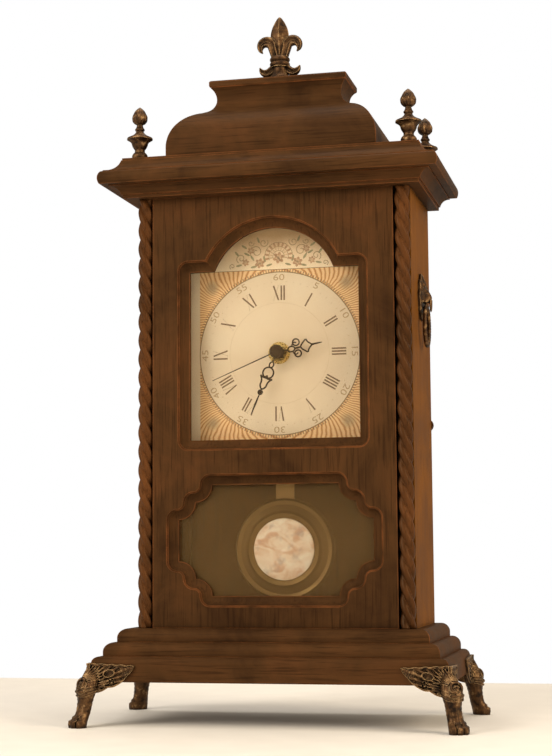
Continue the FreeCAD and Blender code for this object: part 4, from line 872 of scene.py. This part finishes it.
def knee_scroll(corner, sx, sy, on_front):
    route = []
    for i in range(70):
        share = i / 69
        a = radians(235 + 640 * share)
        r = 5.0 * (1 - 0.80 * share)
        out, z = 4.4 + r * cos(a), 29.4 + 1.05 * r * sin(a)
        route.append(on_knee(corner, sx, sy, on_front, out, z, 0.1))
    parts = [tube_along(route, lambda s: 1.0 - 0.45 * s)]
    for drop, reach in ((0.0, 14.0), (2.1, 11.0), (4.0, 7.5)):
        route = []
        for i in range(26):
            share = i / 25
            out = -reach + (reach + 6.0) * share
            z = 29.8 - drop - 4.4 * sin(pi * 0.5 * share) + 0.28 * (reach - 7) * (1 - share)
            route.append(on_knee(corner, sx, sy, on_front, out, z, -0.2))
        parts.append(tube_along(route, lambda s: 0.35 + 0.55 * sin(pi * min(1.0, s + 0.1)) ** 0.5
                                if s < 0.9 else 0.4))
    for i in range(7):
        # locks of the mane climb from the scroll over the corner of the plinth
        lean, length = radians(164 - 11 * i), 11.0 - 0.4 * i
        route = []
        for step in range(16):
            share = step / 15
            out = 3.6 + (3.2 + length * share) * cos(lean + 0.2 * share)
            z = 31.0 + (3.2 + length * share) * sin(lean + 0.2 * share)
            route.append(on_knee(corner, sx, sy, on_front, out, min(z, 42.0), -0.3))
        parts.append(tube_along(route, lambda s: 0.75 * (1 - s ** 3) + 0.12))
    return parts


for sx, side in ((-1, "left"), (1, "right")):
    for sy, end in ((-1, "front"), (1, "rear")):
        corner = (sx * PLINTH_X, PLINTH_Y[sy])
        parts = [leg_rings(corner, sx, sy)]
        for on_front in (True, False):
            parts.append(leaf_rings(corner, sx, sy, on_front))
            parts += knee_scroll(corner, sx, sy, on_front)
        foot = casting(f"{end}_paw_foot_{side}", parts, bronze, "case", f"{end}_foot_{side}")
        print(foot.name, "faces:", len(foot.data.polygons))


# %% [markdown]
# The crown of the clock is a fleur-de-lis. The middle petal is a lance with a sharp ridge; the
# side petals are crescents with raised rims and a hollow between them; two rings tie them
# together, and below the rings a skirt runs out into two tips that turn up. A flat cut-out would
# have the outline, but it would lose the ridge and the hollows that catch the light, so each petal
# is swept along a curve with a section of its own.
# %% Fleur-de-lis
FLEUR_Y, CAP_TOP = -3.0, 465.1


def swept_leaf(route, widths, depth, section, count=44):
    rows = smooth_rows([(x, z, w) for (x, z), w in zip(route, widths)], count)
    most = max(widths)

    def point(i, k):
        x, z, wide = rows[i]
        x0, z0, _ = rows[max(0, i - 1)]
        x1, z1, _ = rows[min(count - 1, i + 1)]
        run = hypot(x1 - x0, z1 - z0) or 1.0
        nx, nz = (z1 - z0) / run, -(x1 - x0) / run
        b = 2 * pi * k / 28
        across, deep = section(b)
        wide = max(wide, 0.25)
        deep *= depth * min(1.0, wide / most + 0.2)
        return x + nx * wide * across, FLEUR_Y + deep, CAP_TOP + z + nz * wide * across

    return grid(count, 28, point)


def ridged(b):
    crest = (1 - abs(cos(b))) ** 0.9 * 0.9 + 0.12 * abs(sin(b))
    return cos(b), copysign(crest, sin(b))


def rimmed(b):
    return cos(b), sin(b) * (1 - 0.72 * bell(cos(b), 0, 0.55))


def arc_route(cx, cz, radius, start, end, count):
    turn = [radians(start + (end - start) * i / (count - 1)) for i in range(count)]
    return [(cx + radius * cos(a), cz + radius * sin(a)) for a in turn]


def turned_rings(x, y, z0, rows, around=48, flute=None):
    """A lathe-turned shape from rows of radius and height; a flute varies the radius round it."""
    def point(i, k):
        radius, height = rows[i]
        a = 2 * pi * k / around
        r = max(radius, 0.05) * (flute(a, height) if flute else 1.0)
        return x + r * cos(a), y + r * sin(a), z0 + height

    return grid(len(rows), around, point)


LANCE = ((16, 2.0), (24, 4.0), (29, 6.1), (33.3, 6.9), (38, 6.0), (42, 4.3), (45, 2.5), (46.6, 1.2),
         (47.15, 0.3))
CRESCENT_WIDTHS = (2.9, 3.4, 3.9, 4.1, 4.0, 3.5, 2.7, 1.6, 0.35)
TIP = ((2.6, 11.0), (5.6, 7.6), (9.0, 5.4), (12.0, 5.6), (14.0, 7.4), (15.1, 9.8))
parts = [swept_leaf([(0, z) for z, w in LANCE], [w for z, w in LANCE], 3.2, ridged)]
for side in (-1, 1):
    bend = arc_route(side * 10.0, 24.3, 4.7, 90 + side * 95, 90 - side * 142, 8)
    parts.append(swept_leaf([(side * 3.0, 15.6)] + bend, CRESCENT_WIDTHS, 4.3, rimmed))
    tip = [(side * x, z) for x, z in TIP]
    parts.append(swept_leaf(tip, (3.2, 3.2, 3.0, 2.6, 1.7, 0.4), 4.0, rimmed))
ring_rows = [(6.4, 9.0)]
for i in range(25):
    share = i / 24
    ring_rows.append((6.3 + 1.15 * abs(sin(2 * pi * share)) ** 0.7, 9.4 + 7.2 * share))
ring_rows.append((5.6, 17.0))
parts.append(turned_rings(0, FLEUR_Y, CAP_TOP, ring_rows))
skirt = smooth_rows([(8.0, 0.0), (7.8, 1.2), (6.0, 4.0), (5.0, 7.0), (4.8, 10.2)], 18)
parts.append(turned_rings(0, FLEUR_Y, CAP_TOP, skirt))
fleur = casting("cast_fleur_de_lis", parts, bronze, "case", "fleur_finial")
print(fleur.name, "faces:", len(fleur.data.polygons))


# %% [markdown]
# Four small finials stand at the corners of the top: a ring, an urn with a wide dish, a bead and
# an acorn with slanting flutes. They are turned shapes, so a list of mouldings from the foot up is
# all they need: how far each rises, the radius it ends at, and how much it swells or hollows.
# %% Corner finials
FINIAL = ((2.0, 5.4, 0.0), (5.0, 3.7, 1.1), (1.6, 3.7, 0.0), (4.8, 6.0, 0.4), (3.0, 9.4, -0.6),
          (1.2, 9.1, 0.1), (4.8, 2.7, -1.3), (2.6, 2.8, 0.8), (2.2, 2.1, 0.0), (1.0, 3.8, 0.0),
          (3.0, 5.6, 0.5), (4.4, 4.6, 0.5), (4.9, 0.4, 0.7))
ACORN_FROM, DECK_TOP, FINIAL_X = 29, 403.0, 99.0
rows, radius, height = [(5.4, 0.0)], 5.4, 0.0
for rise, end, swell in FINIAL:
    for i in range(1, 8):
        share = i / 7
        wide = radius + (end - radius) * share + swell * sin(pi * share)
        rows.append((wide, height + rise * share))
    radius, height = end, height + rise


def acorn_flutes(a, height):
    if height < ACORN_FROM:
        return 1.0
    return 1 - 0.10 * (1 - abs(sin(7 * a + 0.12 * (height - ACORN_FROM)))) ** 0.8


for sx, side in ((-1, "left"), (1, "right")):
    for y, end in ((-31.0, "front"), (52.5, "rear")):
        parts = [turned_rings(sx * FINIAL_X, y, DECK_TOP, rows, 84, acorn_flutes)]
        casting(f"{end}_acorn_finial_{side}", parts, bronze, "case", f"{end}_finial_{side}")
print("corner finials: 4")


# %% [markdown]
# The side pulls are lions' heads that hold a ring in the mouth. The head is a relief over an oval
# plate: the mane is a set of wavy locks running outwards, and brow, nose, cheeks and muzzle are
# smooth lumps added together. Nothing stands in the space where the ring hangs except the
# small jaw in front of it, so the ring can swing up. A relief given by a height at each point is
# the simplest way to a face that is only seen from in front.
# %% Lion masks and rings
MASK_Y, MASK_Z, MASK_X, RING_X, RING_TOP = 12.0, 301.0, 99.0, 103.6, 294.4
MASK_WIDE, MASK_HIGH, MASK_DEEP, WAVE = 13.8, 17.4, 8.9, 0.07


def lump(p, q, at_p, at_q, wide_p, wide_q, tall):
    return tall * exp(-((p - at_p) / wide_p) ** 2 - ((q - at_q) / wide_q) ** 2)


def lion_relief(p, q, r, a):
    """Height of the relief in mm; p runs across and q up, both from -1 to 1."""
    if r > 0.94:
        return 1.9
    height = 1.7 + 0.8 * max(0.0, 1 - r)
    locks = abs(sin(8 * a + 3.2 * r + 0.6 * sin(5 * r)))
    height += (0.5 + 1.0 * locks) * bell(r, 0.72, 0.20)
    height += lump(p, q, 0, 0.03, 0.40, 0.46, 3.9) + lump(p, q, 0, -0.12, 0.22, 0.22, 1.8)
    height += lump(p, q, 0, 0.12, 0.09, 0.28, 0.9)
    for s in (-1, 1):
        height += lump(p, q, s * 0.22, 0.27, 0.15, 0.08, 1.0) + lump(p, q, s * 0.17, -0.16, 0.13, 0.12, 0.7)
        height += lump(p, q, s * 0.42, 0.48, 0.10, 0.12, 1.3) - lump(p, q, s * 0.21, 0.13, 0.09, 0.06, 1.1)
        height += lump(p, q, s * 0.34, -0.02, 0.12, 0.18, 0.5)
    return height


def lion_head(sx):
    rows, around = 60, 120

    def point(i, k):
        a = 2 * pi * k / around
        r = max(0.01, min(1.0, i / (rows - 2)))
        wave = 1 + WAVE * cos(10 * a) * bell(r, 1, 0.25)
        p, q = r * wave * cos(a) / (1 + WAVE), r * wave * sin(a) / (1 + WAVE)
        height = min(MASK_DEEP, lion_relief(p, q, r, a))
        z = MASK_Z + MASK_HIGH * q
        if z < RING_TOP + 2.5:
            height = min(height, 2.5)
        if i == rows - 1:
            height = 0.0
        return sx * (MASK_X + height), MASK_Y + MASK_WIDE * p, z

    def jaw(i, k):
        share = i / 11
        a = 2 * pi * k / 20
        z = RING_TOP + 4.2 - 8.6 * share
        wide = 2.7 * sqrt(max(0.02, 1 - (share - 0.25) ** 2 / 0.60))
        deep = 1.1 * sqrt(max(0.03, 1 - share ** 3))
        return sx * (MASK_X + 7.75 + deep * cos(a)), MASK_Y + wide * sin(a), z

    return [grid(rows, around, point), grid(12, 20, jaw)]


def reeded_ring(sx):
    tall, wide, bar = 14.2, 10.6, 1.6
    middle_z = RING_TOP - tall

    def point(i, k):
        a, b = 2 * pi * i / 180, 2 * pi * k / 16
        thick = bar * (0.86 + 0.14 * abs(sin(20 * a)) ** 0.6) if sin(a) < 0.86 else bar * 0.9
        return (sx * (RING_X + thick * sin(b) * sx), MASK_Y + (wide + thick * cos(b)) * cos(a),
                middle_z + (tall + thick * cos(b)) * sin(a))

    return [grid(180, 16, point, ring=True)]


for sx, side in ((-1, "left"), (1, "right")):
    casting(f"lion_head_{side}", lion_head(sx), bronze, "case", f"lion_mask_{side}")
    casting(f"reeded_ring_{side}", reeded_ring(sx), bronze, f"ring_{side}", f"pull_ring_{side}")
print("lion pulls: 2")


# %% [markdown]
# The hands are stamped from thin sheet in a serpentine pattern. Each is a hub, an open loop or
# two, a diamond or a goblet, and a fine point. Their outline could be drawn as a curve and
# filled, but strips of changing width show the rounded front edge that stamping leaves. They are
# drawn upright, then turned to the time that the clock shows.
# %% Helpers for hands
SHEET, ROUNDED = 0.5, 0.15
STRIP_SECTION = ((-1, ROUNDED), (-0.6, 0.0), (0.6, 0.0), (1, ROUNDED), (1, SHEET), (-1, SHEET))
HOUR_AT, MINUTE_AT, SECOND_AT = 79.0, 203.6, 247.4


def hand_frame(name, degrees):
    """Sets points of a hand, drawn upright, down at its angle in front of the dial."""
    a, y_front = radians(degrees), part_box(name)[0][1] / MM

    def set_down(x, deep, z):
        across, up = x * cos(a) + z * sin(a), z * cos(a) - x * sin(a)
        return Vector((across, y_front + deep, DIAL_Z / MM + up))

    return set_down


def strip(set_down, route, half, closed=False):
    """A flat strip along a route; half is its half width, one value or one for each point."""
    count = len(route)

    def point(i, k):
        x0, z0 = route[(i - 1) % count if closed else max(0, i - 1)]
        x1, z1 = route[(i + 1) % count if closed else min(count - 1, i + 1)]
        run = hypot(x1 - x0, z1 - z0) or 1.0
        nx, nz = (z1 - z0) / run, -(x1 - x0) / run
        side, deep = STRIP_SECTION[k]
        w = side * (half[i] if isinstance(half, tuple) else half)
        return set_down(route[i][0] + nx * w, deep, route[i][1] + nz * w)

    return grid(count, 6, point, ring=closed)


def stem(set_down, heights, half):
    return strip(set_down, [(0, z) for z in heights], half)


def bent(set_down, points, half):
    return strip(set_down, smooth_rows(points, 30), half)


def eyelet(set_down, cx, cz, half_x, half_z, half):
    turn = [2 * pi * i / 36 for i in range(36)]
    return strip(set_down, [(cx + half_x * cos(a), cz + half_z * sin(a)) for a in turn], half, True)


def round_plate(set_down, radius, hole=0.0, cz=0.0):
    """A small round plate with a rounded front edge, or a washer if it has a hole."""
    rows = ((hole, SHEET), (radius, SHEET), (radius, ROUNDED), (radius - 0.25, 0.0), (hole, 0.0))

    def point(i, k):
        r, deep = rows[i]
        a = 2 * pi * k / 48
        return set_down(max(r, 0.02) * cos(a), deep, cz + max(r, 0.02) * sin(a))

    return grid(5, 48, point, ends=False, ring=True)


print("hands set at, degrees:", HOUR_AT, MINUTE_AT, SECOND_AT)


# %% [markdown]
# Each hand is spelled out from the hub outwards, in millimetres. The left and right halves are
# alike, so a loop draws both. The second hand is a plain needle under a domed cap.
# %% Hour, minute and second hands
at = hand_frame("hour_hand", HOUR_AT)
parts = [round_plate(at, 4.6, 2.65), stem(at, (4.2, 6.2, 7.8), 0.65), eyelet(at, 0, 10.2, 1.9, 2.6, 0.52),
         stem(at, (12.5, 15.0, 17.4), (0.5, 0.75, 0.5)),
         stem(at, (24.8, 27.5, 30.5, 33.0), (0.8, 0.62, 0.5, 0.25))]
for s in (-1, 1):
    parts.append(eyelet(at, s * 4.1, 14.4, 2.4, 2.4, 0.52))
    parts.append(bent(at, [(s * 1.7, 11.2), (s * 3.2, 11.4), (s * 4.4, 13.0), (s * 3.6, 14.6)], 0.46))
    parts.append(bent(at, [(0, 17.0), (s * 2.0, 18.4), (s * 4.7, 21.6)], 0.52))
    parts.append(bent(at, [(s * 4.8, 21.9), (s * 2.6, 22.9), (0, 25.6)], 0.52))
casting("serpentine_hour_hand", parts, hand_lacquer, "hour", "hour_hand", 30)

at = hand_frame("minute_hand", MINUTE_AT)
parts = [round_plate(at, 4.9, 1.65), stem(at, (4.6, 6.4, 8.2), 0.55), eyelet(at, 0, 10.0, 1.5, 2.1, 0.5),
         eyelet(at, 0, 16.2, 3.9, 4.0, 0.56), stem(at, (17.9, 19.2, 20.6), (0.15, 1.2, 1.9)),
         round_plate(at, 2.0, 0.0, 31.2), stem(at, (28.2, 28.9, 29.6), 0.5),
         stem(at, (32.6, 36.0, 40.0, 44.0, 48.0), (0.35, 0.5, 0.66, 0.5, 0.22))]
for s in (-1, 1):
    parts.append(bent(at, [(0, 20.3), (s * 2.2, 20.4), (s * 4.6, 19.5)], 0.52))
    parts.append(bent(at, [(s * 4.6, 19.6), (s * 3.0, 21.6), (s * 2.3, 23.8), (s * 2.2, 26.2),
                           (s * 1.1, 28.0), (0, 28.7)], 0.56))
casting("serpentine_minute_hand", parts, hand_lacquer, "minute", "minute_hand", 30)

at = hand_frame("second_hand", SECOND_AT)
DOME = ((3.9, 0.45), (4.9, 0.2), (4.9, -0.6), (4.5, -1.3), (3.5, -1.66), (2.9, -1.72), (0.02, -1.75))
parts = [stem(at, (3.8, 20.0, 36.0, 51.0), (0.42, 0.36, 0.30, 0.20)),
         grid(7, 48, lambda i, k: at(DOME[i][0] * cos(k * pi / 24), DOME[i][1],
                                     DOME[i][0] * sin(k * pi / 24)))]
casting("second_hand_with_cap", parts, hand_lacquer, "second", "second_hand", 30)
print("hands: 3")


# %% [markdown]
# Behind the door there is little to dress: brass screws hold the hinge leaves, two in each. They
# are small domed heads with a slot, pressed a little into the leaf. Their threads are hidden in
# the wood, so the heads alone are enough.
# %% Hinge screws
LEAF_THICK, SCREW_R, SCREW_TALL = 1.0, 1.5, 0.45


def screw_head(set_down):
    rows = [(SCREW_R, 0.05), (SCREW_R, -SCREW_TALL * 0.4), (SCREW_R * 0.7, -SCREW_TALL * 0.9),
            (0.02, -SCREW_TALL)]

    def point(i, k):
        a = 2 * pi * k / 32
        r = rows[i][0]
        groove = 0.25 if abs(r * sin(a)) < 0.22 and i > 1 else 0.0
        return set_down(r * cos(a), rows[i][1] + groove, r * sin(a))

    return grid(4, 32, point)


for body, x, leaf in (("case", -95.2, "hinge_leaves_case"), ("door", -84.2, "hinge_leaves_door")):
    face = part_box(leaf)[0][1] / MM + LEAF_THICK
    parts = [screw_head(lambda u, deep, v, z=z + drop: Vector((x + u, face - deep, z + v)))
             for z in (120.0, 320.2) for drop in (-9.0, 9.0)]
    casting(f"{body}_hinge_screw_heads", parts, hinge_brass, body)
print("hinge screw heads: 8")


# %% [markdown]
# The table, the light and the camera. The floor is a plain pale sheet. A large soft lamp stands in
# front on the left, a warmer one on the right lights the side panel, and a weak one hangs over the
# top. The camera sees white behind the clock, while the light from all round is warm and half as
# strong. It stands low and a little to the right, with a long lens, which is where the picture of
# the clock was taken from.
# %% Floor, light and camera
world = bpy.data.worlds.new("soft_room")
bpy.context.scene.world = world
world.use_nodes = True
tree = world.node_tree
tree.nodes.clear()
seen = node(tree, "Background", Color=(1, 1, 1, 1), Strength=1.0)
lit = node(tree, "Background", Color=(1.0, 0.88, 0.72, 1), Strength=0.5)
either = node(tree, "MixShader", I0=node(tree, "LightPath", "Is Camera Ray"), I1=lit, I2=seen)
plug(tree, either, tree.nodes.new("ShaderNodeOutputWorld").inputs[0])

FLOOR_REACH, FLOOR_BACK = 3, 0.35
floor_mesh = bpy.data.meshes.new("floor")
floor_mesh.from_pydata([(-FLOOR_REACH, -FLOOR_REACH, 0), (FLOOR_REACH, -FLOOR_REACH, 0),
                        (FLOOR_REACH, FLOOR_BACK, 0), (-FLOOR_REACH, FLOOR_BACK, 0)], [], [(0, 1, 2, 3)])
floor_mesh.materials.append(plain_finish("pale_floor", (0.80, 0.78, 0.75), 0.6, 0.02, 40.0))
floor = bpy.data.objects.new("floor", floor_mesh)
bpy.context.collection.objects.link(floor)


def lamp(name, at, aim, size, power, colour):
    data = bpy.data.lights.new(name, "AREA")
    data.shape = "RECTANGLE"
    data.size, data.size_y = size
    data.energy = power
    data.color = colour
    made = bpy.data.objects.new(name, data)
    made.location = at
    made.rotation_euler = (Vector(aim) - Vector(at)).to_track_quat("-Z", "Y").to_euler()
    bpy.context.collection.objects.link(made)


lamp("soft_left", (-1.1, -1.5, 1.25), (0, 0, 0.26), (1.1, 1.1), 34, (1.0, 0.90, 0.76))
lamp("soft_right", (1.5, -0.7, 0.9), (0, 0, 0.24), (0.8, 1.2), 24, (1.0, 0.82, 0.58))
lamp("soft_top", (0.1, 0.1, 1.7), (0, 0, 0.3), (1.0, 1.0), 14, (1.0, 0.92, 0.82))

EYE_POINT, LENS = (0.2675, -1.1683, 0.1211), 79.17
yaw, pitch, roll = radians(13.15), radians(5.88), radians(-0.43)
ahead = Vector((-sin(yaw) * cos(pitch), cos(yaw) * cos(pitch), sin(pitch)))
level = Vector((cos(yaw), sin(yaw), 0))
above = level.cross(ahead)
right = level * cos(roll) + above * sin(roll)
up = above * cos(roll) - level * sin(roll)
camera_data = bpy.data.cameras.new("camera")
camera_data.lens = LENS
camera_data.sensor_width = 36.0
camera = bpy.data.objects.new("camera", camera_data)
camera.matrix_world = Matrix.Translation(EYE_POINT) @ Matrix((right, up, -ahead)).transposed().to_4x4()
bpy.context.collection.objects.link(camera)
bpy.context.scene.camera = camera
bpy.context.scene.view_settings.view_transform = "Standard"
print("camera at", [round(v, 3) for v in camera.location])
